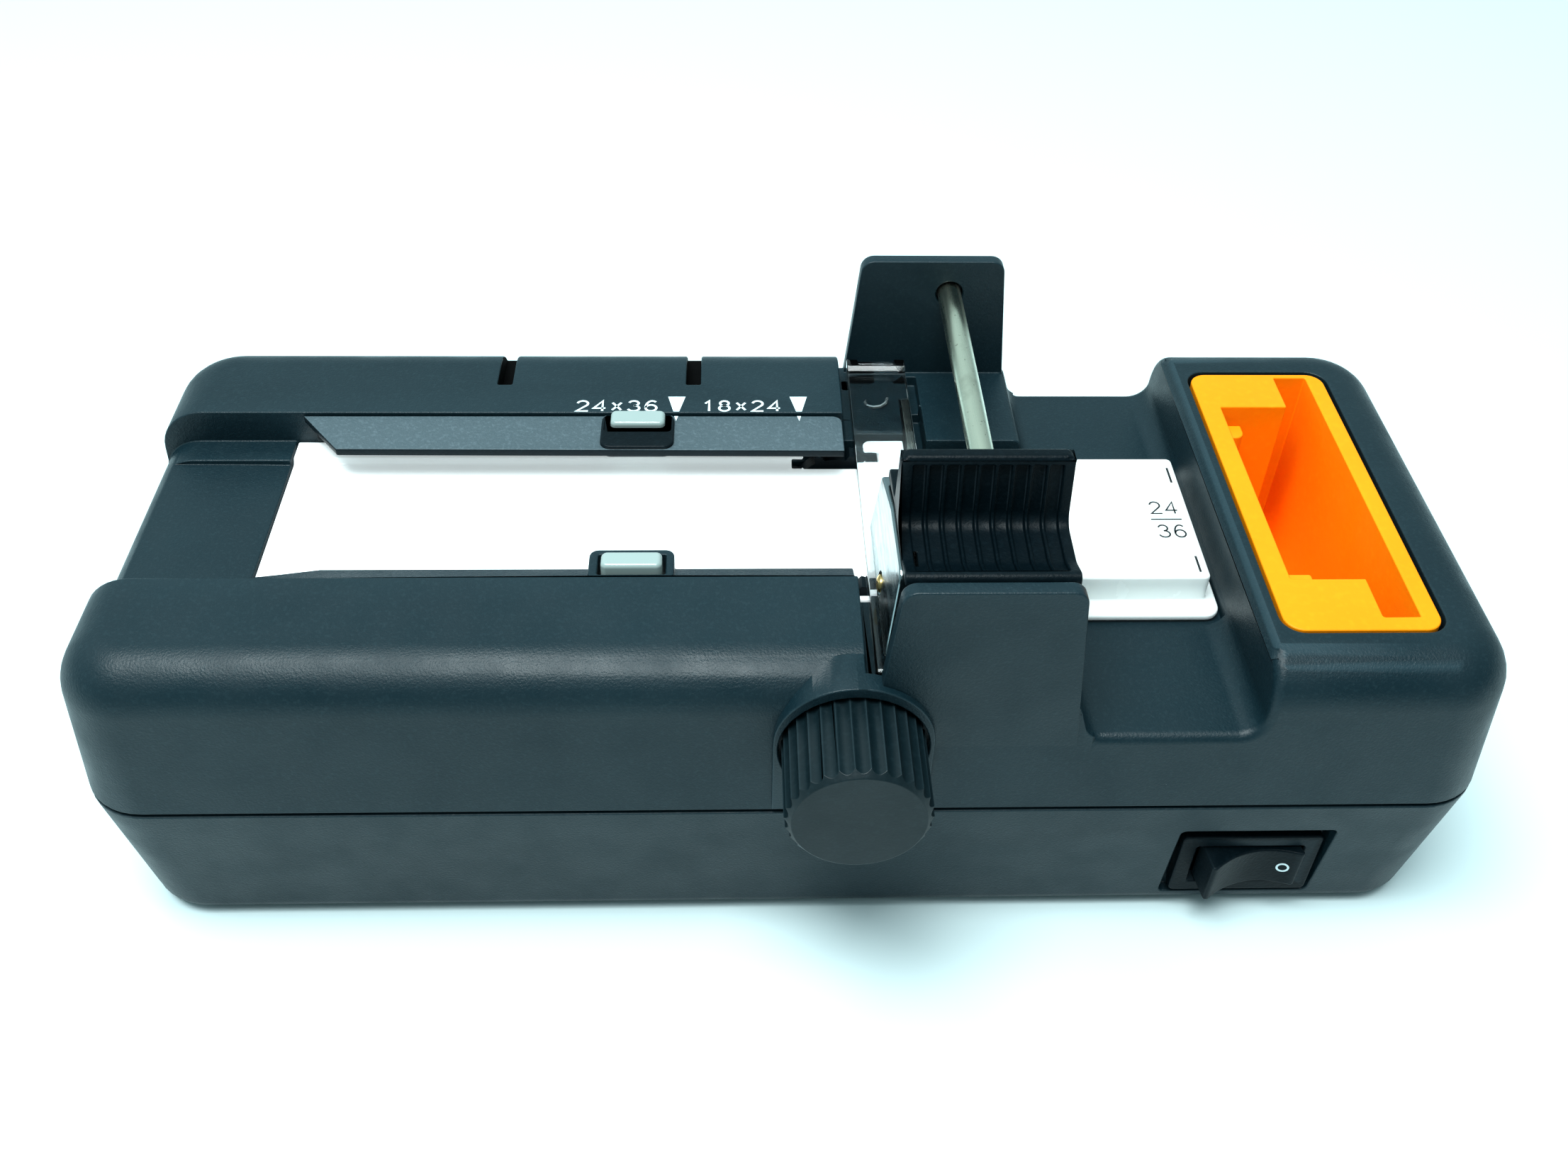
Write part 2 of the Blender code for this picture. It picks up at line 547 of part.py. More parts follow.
def blade_guard():
    """Cheek beside the wheel; its outer face leans out towards the film."""
    lean = [(9.7, 48.7, 0), (13.1, 48.7, 0), (13.1, 61.0, 0), (11.15, 61.0, 0)]
    outline = [(-33.2, 48.7, 0.6), (-8.2, 48.7, 0.6), (-8.6, 57.7, 0.6), (-17.9, 60.0, 0),
               (-30.5, 60.4, 2.0)]
    guard = prism("blade_guard", lean, -40, 0)
    combine(guard, prism("guard_outline", outline, 0, 20, axis="X"), "INTERSECT")
    cut(guard, rod("guard_axle_bore", 1.5, (5, WHEEL_Y, WHEEL_Z), (15, WHEEL_Y, WHEEL_Z),
                   sides=16))
    return keep(guard, "steel")


def cutter_wheel():
    """Thin round blade with a hub bore, bevelled towards the fixed blade's side."""
    wheel = rod("cutter_wheel", WHEEL_RADIUS, (WHEEL_X - 0.3, WHEEL_Y, WHEEL_Z),
                (WHEEL_X + 0.3, WHEEL_Y, WHEEL_Z), sides=40, end_radius=WHEEL_RADIUS - 0.7)
    cut(wheel, rod("wheel_bore", 1.5, (WHEEL_X - 3, WHEEL_Y, WHEEL_Z),
                   (WHEEL_X + 3, WHEEL_Y, WHEEL_Z), sides=20))
    set_pivot(wheel, WHEEL_X, WHEEL_Y, WHEEL_Z)
    keep(wheel, "steel", smooth=True)
    axle = rod("wheel_axle", 1.2, (9.5, WHEEL_Y, WHEEL_Z), (24.6, WHEEL_Y, WHEEL_Z), sides=16)
    keep(axle, "brass", smooth=True)


def fluted_outline(radius, depth, count):
    points = []
    for index in range(count * 2):
        angle = math.tau * index / (count * 2)
        reach = radius if index % 2 else radius - depth
        for spread in (-0.3, 0.3):
            turn = angle + spread * math.pi / count
            points.append((reach * math.cos(turn), reach * math.sin(turn), 0))
    return points


def feed_knob():
    ridges = [(FEED_X + a, FEED_Z + b, 0) for a, b, _ in fluted_outline(KNOB_RADIUS, FLUTE_DEPTH, KNOB_FLUTES)]
    knob = prism("feed_knob", ridges, KNOB_FACE + 1.2, KNOB_BACK)
    join(knob, rod("knob_face", KNOB_RADIUS - 0.25, (FEED_X, KNOB_FACE, FEED_Z),
                   (FEED_X, KNOB_FACE + 2.0, FEED_Z), sides=48))
    cut(knob, rod("knob_socket", 2.3, (FEED_X, KNOB_FACE + 4, FEED_Z), (FEED_X, -20, FEED_Z),
                  sides=20))
    set_pivot(knob, FEED_X, 0, FEED_Z)
    keep(knob, "black", smooth=True)
    shaft = rod("feed_shaft", 2.0, (FEED_X, KNOB_FACE + 4.3, FEED_Z), (FEED_X, 26.0, FEED_Z),
                sides=20)
    set_pivot(shaft, FEED_X, 0, FEED_Z)
    keep(shaft, "steel", smooth=True)


def sprocket(name, y):
    """Eight teeth for film perforations; the drum's top is level with the rails."""
    points = []
    for tooth in range(SPROCKET_TEETH):
        middle = math.tau * (tooth + 0.5) / SPROCKET_TEETH + math.pi / 2
        for offset, reach in ((-0.39, SPROCKET_ROOT), (-0.25, SPROCKET_ROOT), (-0.13, SPROCKET_ROOT),
                              (-0.07, SPROCKET_TIP), (0.07, SPROCKET_TIP), (0.13, SPROCKET_ROOT),
                              (0.25, SPROCKET_ROOT)):
            angle = middle + offset
            points.append((FEED_X + reach * math.cos(angle), FEED_Z + reach * math.sin(angle), 0))
    wheel = prism(name, points, y - 1.1, y + 1.1)
    cut(wheel, rod(name + "_bore", 2.3, (FEED_X, y - 5, FEED_Z), (FEED_X, y + 5, FEED_Z), sides=20))
    set_pivot(wheel, FEED_X, 0, FEED_Z)
    keep(wheel, "black")


def power_switch():
    """Rocker switch: a flanged frame from the front, its rocker and two terminals behind."""
    x, z = SWITCH_X, SWITCH_Z
    frame = prism("switch_frame", rectangle(x - 9.8, 4.4, x + 9.8, 16.4, 0.8), -36.4, -34.5)
    join(frame, box("switch_body", (x - 8.4, -34.8, 5.5), (x + 8.4, -20.0, 15.3)))
    cut(frame, box("rocker_space", (x - 7.5, -50, 6.5), (x + 7.5, -26.5, 14.3)),
        rod("pivot_bore", 1.3, (x, SWITCH_PIVOT_Y, 5.8), (x, SWITCH_PIVOT_Y, 15.0), sides=16))
    keep(frame, "grey")
    outline = [(-6.9, -3.9, 0), (-6.3, -4.0, 0), (-3.0, -2.7, 0), (0, -2.2, 0), (3.0, -2.7, 0),
               (6.3, -4.0, 0), (6.9, -3.9, 0), (6.6, 0.8, 0), (3.6, 4.4, 0), (-3.6, 4.4, 0),
               (-6.6, 0.8, 0)]
    rocker = prism("switch_rocker", outline, z - 3.6, z + 3.6, axis="Z")
    join(rocker, rod("rocker_pins", 1.0, (0, 0, 6.1), (0, 0, 14.7), sides=16))
    rocker.location = (x * MM, SWITCH_PIVOT_Y * MM, 0)
    for tool in rocker.modifiers:
        tool.object.location = rocker.location
        tool.object.rotation_euler.z = ROCKER_TILT
    rocker.rotation_euler.z = ROCKER_TILT
    keep(rocker, "black")
    for index, side in enumerate((-1, 1)):
        at = x + side * 4.0
        blade = box(f"switch_terminal_{index + 1}", (at - 0.4, -19.7, 8.4), (at + 0.4, -12.5, 12.4))
        keep(blade, "brass")


def light_box():
    """White tray under the panel, with two small lamps in their holders."""
    tray = box("reflector_tray", (-71, -16.5, 19.0), (-4.5, 16.5, 35.6))
    cut(tray, box("tray_hollow", (-69.8, -15.3, 20.2), (-5.7, 15.3, 50)))
    keep(tray, "milk")
    for index, x in enumerate(LAMP_XS):
        holder = rod(f"lamp_holder_{index + 1}", 6.6, (x, 0, 20.5), (x, 0, 26.0), sides=24)
        cut(holder, rod(f"holder_hollow_{index}", 5.1, (x, 0, 21.7), (x, 0, 40), sides=24))
        keep(holder, "black", smooth=True)
        lamp = rod(f"lamp_{index + 1}", 4.7, (x, 0, 22.0), (x, 0, 30.0), sides=24)
        join(lamp, rod(f"lamp_glass_{index}", 4.4, (x, 0, 29.5), (x, 0, 34.0), sides=24,
                       end_radius=2.4))
        keep(lamp, "clear", smooth=True)


def battery_bay():
    for index in range(3):
        y = (index - 1) * CELL_PITCH
        cell = rod(f"battery_{index + 1}", CELL_RADIUS, (CELL_LEFT, y, CELL_Z),
                   (CELL_LEFT + CELL_LENGTH - 1.2, y, CELL_Z), sides=24)
        join(cell, rod(f"cell_button_{index}", 2.6, (-40, y, CELL_Z),
                       (CELL_LEFT + CELL_LENGTH, y, CELL_Z), sides=16))
        keep(cell, "cell", smooth=True)
        coil(f"contact_spring_{index + 1}", 2.6, 0.35, (-85.6, y, CELL_Z), (-82.75, y, CELL_Z),
             2.5, "steel")
    keep(box("contact_plate_left", (-87.2, -22.3, 3.7), (-86.4, 22.3, 17.6)), "brass")
    keep(box("contact_plate_right", (-31.5, -22.3, 3.7), (-30.7, 22.3, 16.8)), "brass")


def small_hardware():
    for index, (x, y) in enumerate(FOOT_PLACES):
        keep(rod(f"foot_{index + 1}", 4.0, (x, y, 0), (x, y, 1.2), sides=20), "rubber", smooth=True)
    for index, (x, y) in enumerate(SCREW_PLACES):
        screw = rod(f"screw_{index + 1}", 2.7, (x, y, 3.0), (x, y, 4.7), sides=16)
        join(screw, rod(f"screw_shank_{index}", 1.3, (x, y, 4.4), (x, y, 17.5), sides=12))
        keep(screw, "steel", smooth=True)
    for name, y in (("strip_spring_front", -22.5), ("strip_spring_rear", 25.5)):
        coil(name, 1.7, 0.25, (13.2, y, 39.2), (13.2, y, 44.2), 3, "steel")


upper_shell()
lower_shell()
battery_door()
rear_guide()
light_panel()
stop_block()
counter_blade()
guide_rod()
mount_tray()
pressure_strip()
film_pads()
carriage()
blade_guard()
cutter_wheel()
feed_knob()
sprocket("sprocket_front", -SPROCKET_Y)
sprocket("sprocket_rear", SPROCKET_Y)
power_switch()
light_box()
battery_bay()
small_hardware()
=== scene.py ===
"""Looks of a slide-film cutter with a lit panel, a roller knife and a slide-mount tray.

Shapes are drawn in millimetres in the layout of the working parts, X along the film, Y away from
the operator and Z up, and go into the frame's metres when each piece is finished.
"""
import json
import math

import bmesh
import bpy
from mathutils import Matrix, Vector

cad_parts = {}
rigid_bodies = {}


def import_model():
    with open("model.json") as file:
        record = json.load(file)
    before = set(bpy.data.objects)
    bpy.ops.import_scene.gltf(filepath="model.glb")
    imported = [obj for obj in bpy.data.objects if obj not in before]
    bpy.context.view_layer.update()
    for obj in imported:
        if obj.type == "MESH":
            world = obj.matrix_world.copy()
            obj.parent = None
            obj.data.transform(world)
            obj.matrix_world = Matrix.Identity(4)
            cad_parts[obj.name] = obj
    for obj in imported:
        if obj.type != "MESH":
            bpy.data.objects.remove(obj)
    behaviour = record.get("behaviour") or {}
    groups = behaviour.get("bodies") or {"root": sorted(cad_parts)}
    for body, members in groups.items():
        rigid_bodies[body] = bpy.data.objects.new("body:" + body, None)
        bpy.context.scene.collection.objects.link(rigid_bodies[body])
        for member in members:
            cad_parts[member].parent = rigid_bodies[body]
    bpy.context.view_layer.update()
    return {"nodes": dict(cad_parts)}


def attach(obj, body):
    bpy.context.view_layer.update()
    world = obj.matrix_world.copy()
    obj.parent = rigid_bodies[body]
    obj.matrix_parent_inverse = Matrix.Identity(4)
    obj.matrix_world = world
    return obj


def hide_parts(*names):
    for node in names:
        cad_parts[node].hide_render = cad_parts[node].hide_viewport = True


for old in list(bpy.data.objects):
    bpy.data.objects.remove(old, do_unlink=True)
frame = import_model()
NODES = frame["nodes"]

MM = 0.001
INTO_FRAME = Matrix.Scale(MM, 4) @ Matrix.Translation((1.0, 5.85, 0.0))
GAP = 0.3

HALF_LENGTH, HOUSING_X, HALF_DEPTH = 93.3, -1.0, 38.0
FOOT_HEIGHT, SEAM_LOW, SEAM_HIGH, TOP_Z = 0.4, 24.8, 25.4, 48.7
UPPER_DRAFT, LOWER_DRAFT = math.radians(4.0), math.radians(5.7)
CORNER_RADIUS, TOP_ROUND, WALL = 9.0, 6.5, 2.2
FILM_Z, PICTURE_Z, RAIL_Y = 43.5, 42.7, 12.8
CHANNEL_FRONT, CHANNEL_REAR = -18.0, 17.5
PANEL_LEFT, PANEL_RIGHT, PANEL_UNDERSIDE = -73.1, 16.8, 41.3
RIM_END_X, DECK_END_X = 7.5, 34.4
SADDLE_Z, SADDLE_LEFT, SADDLE_RIGHT, SADDLE_WALL = 38.15, 36.0, 58.2, 58.6
CUT_X = 18.3
POST_LEFT, POST_RIGHT, POST_TOP, POST_OUTER, POST_INNER = 10.8, 32.2, 63.5, 37.2, 35.2
ROD_X, ROD_Z, ROD_RADIUS = 24.3, 58.0, 1.75
WHEEL_X, WHEEL_Y, WHEEL_Z, WHEEL_RADIUS = 18.9, -21.5, 50.5, 8.0
FEED_X, FEED_Z, SPROCKET_Y = 6.3, 37.5, 14.1
KNOB_RADIUS, KNOB_BACK, KNOB_FACE = 9.15, -36.5, -49.7
BOSS_RADIUS, BOSS_Z, BOSS_FRONT = 10.2, 38.5, -38.2
INSERT_LEFT, INSERT_RIGHT, INSERT_FRONT, INSERT_REAR, INSERT_DEPTH = 61.3, 81.8, -28.4, 27.5, 30.0
SWITCH_X, SWITCH_Z, SWITCH_PIVOT_Y, ROCKER_TILT = 62.8, 10.4, -34.8, math.radians(10.4)
RIM_MARKS, RIM_MARK_WIDTH, RIM_MARK_DEPTH = (-44.1, -15.8), 2.2, 3.4
FOOT_PLACES = [(x, y) for x in (-73.0, 71.0) for y in (-28.4, 28.4)]
SCREW_PLACES = [(x, y) for x in (-86.2, 84.2) for y in (-27.4, 27.4)]


# ---------------------------------------------------------------- shapes, in millimetres

def park(name, shape):
    """Keep a finished bmesh as an unrendered object that modifiers can use."""
    bmesh.ops.recalc_face_normals(shape, faces=shape.faces)
    mesh = bpy.data.meshes.new(name)
    shape.to_mesh(mesh)
    shape.free()
    thing = bpy.data.objects.new(name, mesh)
    thing.hide_render = True
    bpy.context.scene.collection.objects.link(thing)
    return thing


def box(name, low, high):
    shape = bmesh.new()
    bmesh.ops.create_cube(shape, size=1.0)
    bmesh.ops.scale(shape, vec=Vector(high) - Vector(low), verts=shape.verts)
    bmesh.ops.translate(shape, vec=(Vector(high) + Vector(low)) / 2, verts=shape.verts)
    return park(name, shape)


def rod(name, radius, start, end, sides=48, end_radius=None):
    start, end = Vector(start), Vector(end)
    along = end - start
    shape = bmesh.new()
    bmesh.ops.create_cone(shape, cap_ends=True, segments=sides, radius1=radius,
                          radius2=radius if end_radius is None else end_radius,
                          depth=along.length)
    turn = Vector((0, 0, 1)).rotation_difference(along).to_matrix().to_4x4()
    bmesh.ops.transform(shape, matrix=Matrix.Translation((start + end) / 2) @ turn,
                        verts=shape.verts)
    return park(name, shape)


def lathe(name, profile, start, axis, sides=64):
    """Turn a profile of (distance along the axis, radius) points round an axis."""
    turn = Vector((0, 0, 1)).rotation_difference(Vector(axis)).to_matrix()
    shape = bmesh.new()
    rings = []
    for along, radius in profile:
        if radius == 0:
            rings.append([shape.verts.new(Vector(start) + turn @ Vector((0, 0, along)))])
            continue
        ring = []
        for side in range(sides):
            angle = math.tau * side / sides
            spot = Vector((radius * math.cos(angle), radius * math.sin(angle), along))
            ring.append(shape.verts.new(Vector(start) + turn @ spot))
        rings.append(ring)
    for one, two in zip(rings, rings[1:]):
        for side in range(sides):
            after = (side + 1) % sides
            corners = [one[side % len(one)], one[after % len(one)], two[after % len(two)],
                       two[side % len(two)]]
            shape.faces.new(list(dict.fromkeys(corners)))
    for ring in (rings[0], rings[-1]):
        if len(ring) > 1:
            shape.faces.new(ring)
    return park(name, shape)


def bevelled_block(name, low, high, top_inset, corner, top_round=0.0, bottom_round=0.0, segments=10):
    shape = bmesh.new()
    bmesh.ops.create_cube(shape, size=1.0)
    size = Vector(high) - Vector(low)
    bmesh.ops.scale(shape, vec=size, verts=shape.verts)
    bmesh.ops.translate(shape, vec=(Vector(high) + Vector(low)) / 2, verts=shape.verts)
    for vert in shape.verts:
        if vert.co.z > (low[2] + high[2]) / 2:
            vert.co.x -= math.copysign(top_inset, vert.co.x - (low[0] + high[0]) / 2)
            vert.co.y -= math.copysign(top_inset, vert.co.y - (low[1] + high[1]) / 2)
    uprights = [e for e in shape.edges if abs(e.verts[0].co.z - e.verts[1].co.z) > size.z / 2]
    bmesh.ops.bevel(shape, geom=uprights, offset=corner, segments=segments, profile=0.5,
                    affect="EDGES")
    for level, radius in ((high[2], top_round), (low[2], bottom_round)):
        if radius > 0:
            loop = [e for e in shape.edges if all(abs(v.co.z - level) < 1e-4 for v in e.verts)]
            bmesh.ops.bevel(shape, geom=loop, offset=radius, segments=segments, profile=0.5,
                            affect="EDGES")
    return park(name, shape)


def round_corners(points, segments):
    """Replace each (a, b, radius) corner of an outline by an arc."""
    outline = []
    for index, (a, b, radius) in enumerate(points):
        here = Vector((a, b))
        if radius <= 0:
            outline.append(here)
            continue
        before = (Vector(points[index - 1][:2]) - here).normalized()
        after = (Vector(points[(index + 1) % len(points)][:2]) - here).normalized()
        half = before.angle(after) / 2
        centre = here + (before + after).normalized() * radius / math.sin(half)
        first = here + before * radius / math.tan(half) - centre
        last = here + after * radius / math.tan(half) - centre
        sweep = first.angle_signed(last)
        for step in range(segments + 1):
            outline.append(centre + Matrix.Rotation(-sweep * step / segments, 2) @ first)
    return outline


AXES = {"X": lambda a, b, c: (c, a, b), "Y": lambda a, b, c: (a, c, b),
        "Z": lambda a, b, c: (a, b, c)}


def prism(name, points, low, high, axis="Y", segments=8):
    """Extrude an outline of (a, b, radius) corners along an axis, between low and high."""
    outline = round_corners(points, segments)
    shape = bmesh.new()
    ends = []
    for level in (low, high):
        ends.append([shape.verts.new(AXES[axis](a, b, level)) for a, b in outline])
        shape.faces.new(ends[-1])
    for index in range(len(outline)):
        after = (index + 1) % len(outline)
        shape.faces.new([ends[0][index], ends[0][after], ends[1][after], ends[1][index]])
    return park(name, shape)


def rectangle(a_low, b_low, a_high, b_high, radius=0.0):
    return [(a_low, b_low, radius), (a_high, b_low, radius), (a_high, b_high, radius),
            (a_low, b_high, radius)]


def combine(target, tools, how):
    for tool in tools:
        step = target.modifiers.new(tool.name, "BOOLEAN")
        step.operation = how
        step.solver = "EXACT"
        step.object = tool


def cut(target, *tools):
    combine(target, tools, "DIFFERENCE")


def join(target, *tools):
    combine(target, tools, "UNION")


def flatten(thing):
    """The object's mesh with its modifiers applied."""
    bpy.context.view_layer.update()
    graph = bpy.context.evaluated_depsgraph_get()
    return bpy.data.meshes.new_from_object(thing.evaluated_get(graph))


def tidy(mesh):
    """Weld what the cuts left and merge flat neighbours."""
    shape = bmesh.new()
    shape.from_mesh(mesh)
    bmesh.ops.remove_doubles(shape, verts=shape.verts, dist=0.005)
    bmesh.ops.dissolve_degenerate(shape, edges=shape.edges, dist=0.005)
    bmesh.ops.dissolve_limit(shape, angle_limit=math.radians(0.2), verts=shape.verts,
                             edges=shape.edges)
    shape.to_mesh(mesh)
    shape.free()


def soften_edges(mesh, wanted, radius, steps):
    """Round the edges that wanted(edge) picks by a larger radius than the rest."""
    shape = bmesh.new()
    shape.from_mesh(mesh)
    chosen = [e for e in shape.edges if e.is_manifold and wanted(e)]
    bmesh.ops.bevel(shape, geom=chosen, offset=radius, segments=steps, profile=0.5,
                    affect="EDGES", clamp_overlap=False)
    shape.to_mesh(mesh)
    shape.free()


def corner_normals(mesh, smooth=50.0, broad=3.0):
    """Normals that keep broad flat faces flat and blend the narrow faces between them."""
    shape = bmesh.new()
    shape.from_mesh(mesh)
    limit = math.cos(math.radians(smooth))
    shape.faces.ensure_lookup_table()
    areas = [face.calc_area() for face in shape.faces]
    flat = [area / max(e.calc_length() for e in face.edges) > broad
            for face, area in zip(shape.faces, areas)]
    normals = []
    for face in shape.faces:
        for loop in face.loops:
            if flat[face.index]:
                normals.append(face.normal.copy())
                continue
            near = [f for f in loop.vert.link_faces if f.normal.dot(face.normal) > limit]
            wide = [f for f in near if flat[f.index]]
            if wide:
                normals.append(max(wide, key=lambda f: areas[f.index]).normal.copy())
                continue
            total = Vector((0, 0, 0))
            for other in near:
                corner = next(c for c in other.loops if c.vert == loop.vert)
                total += other.normal * corner.calc_angle() * areas[other.index] ** 0.5
            normals.append(total.normalized() if total.length > 0 else face.normal.copy())
    shape.free()
    mesh.normals_split_custom_set(normals)


def clear_tools():
    for thing in list(bpy.context.scene.objects):
        if thing.type == "MESH" and thing.hide_render and thing.name not in NODES:
            bpy.data.objects.remove(thing, do_unlink=True)


def weigh_edges(mesh, angle, crisp):
    """Mark for rounding every edge sharper than angle that crisp(edge) doesn't pick."""
    shape = bmesh.new()
    shape.from_mesh(mesh)
    weight = shape.edges.layers.float.new("bevel_weight_edge")
    for edge in shape.edges:
        sharp = edge.is_manifold and edge.calc_face_angle(0.0) > math.radians(angle)
        edge[weight] = 1.0 if sharp and not crisp(edge) else 0.0
    shape.to_mesh(mesh)
    shape.free()


def finish(thing, name, body, replaced, skin, edge=0.25, steps=2, angle=35, wanted=None,
           big_edge=0.0, repaint=(), crisp=None):
    """Apply the cuts, round the edges, and put the piece in the frame on its body.

    wanted(edge) picks the edges that big_edge rounds, and crisp(edge) those that stay sharp.
    repaint holds (material, test of a face's centre and normal) pairs."""
    mesh = flatten(thing)
    tidy(mesh)
    if wanted:
        soften_edges(mesh, wanted, big_edge, 5)
    if crisp:
        weigh_edges(mesh, angle, crisp)
    piece = bpy.data.objects.new(name, mesh)
    bpy.context.scene.collection.objects.link(piece)
    if edge:
        bevel = piece.modifiers.new("edges", "BEVEL")
        bevel.width = edge
        bevel.segments = steps
        bevel.limit_method = "WEIGHT" if crisp else "ANGLE"
        bevel.angle_limit = math.radians(angle)
        bevel.use_clamp_overlap = False
        bevel.miter_outer = "MITER_ARC"
    done = flatten(piece)
    piece.modifiers.clear()
    piece.data = done
    for face in done.polygons:
        face.use_smooth = True
        face.material_index = 0
    corner_normals(done)
    done.materials.clear()
    done.materials.append(skin)
    for other, chosen in repaint:
        done.materials.append(other)
        for face in done.polygons:
            if chosen(face.center, face.normal):
                face.material_index = len(done.materials) - 1
    done.transform(INTO_FRAME)
    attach(piece, body)
    if replaced:
        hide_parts(*replaced)
    clear_tools()
    return piece


# ---------------------------------------------------------------- materials

def new_skin(name):
    skin = bpy.data.materials.new(name)
    skin.use_nodes = True
    return skin, skin.node_tree, skin.node_tree.nodes["Principled BSDF"]


def add(tree, kind, inputs=(), **settings):
    """A node with its sockets set: a number, a colour, or another node's output."""
    made = tree.nodes.new(kind)
    for key, value in settings.items():
        setattr(made, key, value)
    for key, value in dict(inputs).items():
        if isinstance(value, bpy.types.NodeSocket):
            tree.links.new(value, made.inputs[key])
        else:
            made.inputs[key].default_value = value
    return made


def noise(tree, place, scale, detail=2.0, roughness=0.5):
    made = add(tree, "ShaderNodeTexNoise", {"Vector": place, "Scale": scale, "Detail": detail,
                                            "Roughness": roughness})
    return made.outputs["Fac"]


def spread(tree, value, low, high, out_low, out_high):
    made = add(tree, "ShaderNodeMapRange", {"Value": value, "From Min": low, "From Max": high,
                                            "To Min": out_low, "To Max": out_high})
    return made.outputs["Result"]


def mix(tree, share, one, two, how="MIX"):
    made = add(tree, "ShaderNodeMix", data_type="RGBA", blend_type=how)
    colours = [s for s in made.inputs if s.type == "RGBA"]
    factor = next(s for s in made.inputs if s.name == "Factor" and s.type == "VALUE")
    for socket, value in ((factor, share), (colours[0], one), (colours[1], two)):
        if isinstance(value, bpy.types.NodeSocket):
            tree.links.new(value, socket)
        else:
            socket.default_value = value
    return next(s for s in made.outputs if s.type == "RGBA")


def rgb(red, green, blue):
    return (red, green, blue, 1.0)


def moulded(name, colour, light, roughness, grain, depth, dust=0.0, wear=0.0, specular=0.5,
            blotch=0.25):
    """Moulded plastic: spark-eroded grain, faint blotches, worn edges and a little dust."""
    skin, tree, shader = new_skin(name)
    place = add(tree, "ShaderNodeTexCoord").outputs["Object"]
    fine = noise(tree, place, grain, 3.0, 0.6)
    broad = noise(tree, place, 60.0, 4.0)
    speckle = noise(tree, place, grain * 0.6, 1.0)
    shade = mix(tree, spread(tree, broad, 0.3, 0.7, 0.0, blotch), rgb(*colour), rgb(*light))
    shade = mix(tree, spread(tree, speckle, 0.52, 0.75, 0.0, 0.5), shade, rgb(*light))
    if wear:
        edge = add(tree, "ShaderNodeNewGeometry").outputs["Pointiness"]
        worn = spread(tree, edge, 0.53, 0.62, 0.0, wear)
        shade = mix(tree, worn, shade, rgb(*[min(1.0, 3.0 * c + 0.03) for c in light]))
    if dust:
        cells = add(tree, "ShaderNodeTexVoronoi", {"Vector": place, "Scale": 95.0})
        speck = spread(tree, cells.outputs["Distance"], 0.010, 0.016, dust, 0.0)
        rare = spread(tree, noise(tree, place, 25.0, 0.0), 0.52, 0.6, 0.0, 1.0)
        share = add(tree, "ShaderNodeMath", {0: speck, 1: rare}, operation="MULTIPLY")
        shade = mix(tree, share.outputs[0], shade, rgb(0.45, 0.5, 0.52))
    tree.links.new(shade, shader.inputs["Base Color"])
    gloss = spread(tree, noise(tree, place, 180.0, 3.0), 0.3, 0.7, roughness - 0.06,
                   roughness + 0.07)
    tree.links.new(gloss, shader.inputs["Roughness"])
    bump = add(tree, "ShaderNodeBump", {"Strength": 1.0, "Distance": depth, "Height": fine})
    tree.links.new(bump.outputs["Normal"], shader.inputs["Normal"])
    shader.inputs["Specular IOR Level"].default_value = specular
    return skin


def milk(name, colour, glow, roughness=0.22):
    """Opal acrylic, lit through: faint clouding and light that spreads inside."""
    skin, tree, shader = new_skin(name)
    place = add(tree, "ShaderNodeTexCoord").outputs["Object"]
    cloud = noise(tree, place, 22.0, 3.0)
    shade = mix(tree, spread(tree, cloud, 0.35, 0.65, 0.0, 0.5), rgb(*colour),
                rgb(*[c * 0.965 for c in colour]))
    tree.links.new(shade, shader.inputs["Base Color"])
    gloss = spread(tree, noise(tree, place, 260.0, 3.0), 0.3, 0.7, roughness - 0.05,
                   roughness + 0.08)
    tree.links.new(gloss, shader.inputs["Roughness"])
    shader.inputs["Subsurface Weight"].default_value = 0.35
    shader.inputs["Subsurface Radius"].default_value = (1.0, 0.95, 0.9)
    shader.inputs["Subsurface Scale"].default_value = 0.003
    shader.inputs["Emission Color"].default_value = rgb(0.93, 1.0, 1.0)
    shader.inputs["Emission Strength"].default_value = glow
    bump = add(tree, "ShaderNodeBump", {"Strength": 0.15, "Distance": 0.00002,
                                        "Height": noise(tree, place, 900.0, 2.0)})
    tree.links.new(bump.outputs["Normal"], shader.inputs["Normal"])
    return skin


def clear_plastic(name, colour, roughness, through=1.0):
    """Clear or frosted acrylic with a few fine scuffs."""
    skin, tree, shader = new_skin(name)
    place = add(tree, "ShaderNodeTexCoord").outputs["Object"]
    scuffs = spread(tree, noise(tree, place, 420.0, 4.0, 0.7), 0.55, 0.8, roughness,
                    roughness + 0.25)
    tree.links.new(scuffs, shader.inputs["Roughness"])
    tint = mix(tree, spread(tree, noise(tree, place, 90.0), 0.4, 0.7, 0.0, 0.4), rgb(*colour),
               rgb(*[c * 0.92 for c in colour]))
    tree.links.new(tint, shader.inputs["Base Color"])
    shader.inputs["Transmission Weight"].default_value = through
    shader.inputs["IOR"].default_value = 1.49
    bump = add(tree, "ShaderNodeBump", {"Strength": 0.2, "Distance": 0.00002,
                                        "Height": noise(tree, place, 500.0, 3.0)})
    tree.links.new(bump.outputs["Normal"], shader.inputs["Normal"])
    return skin


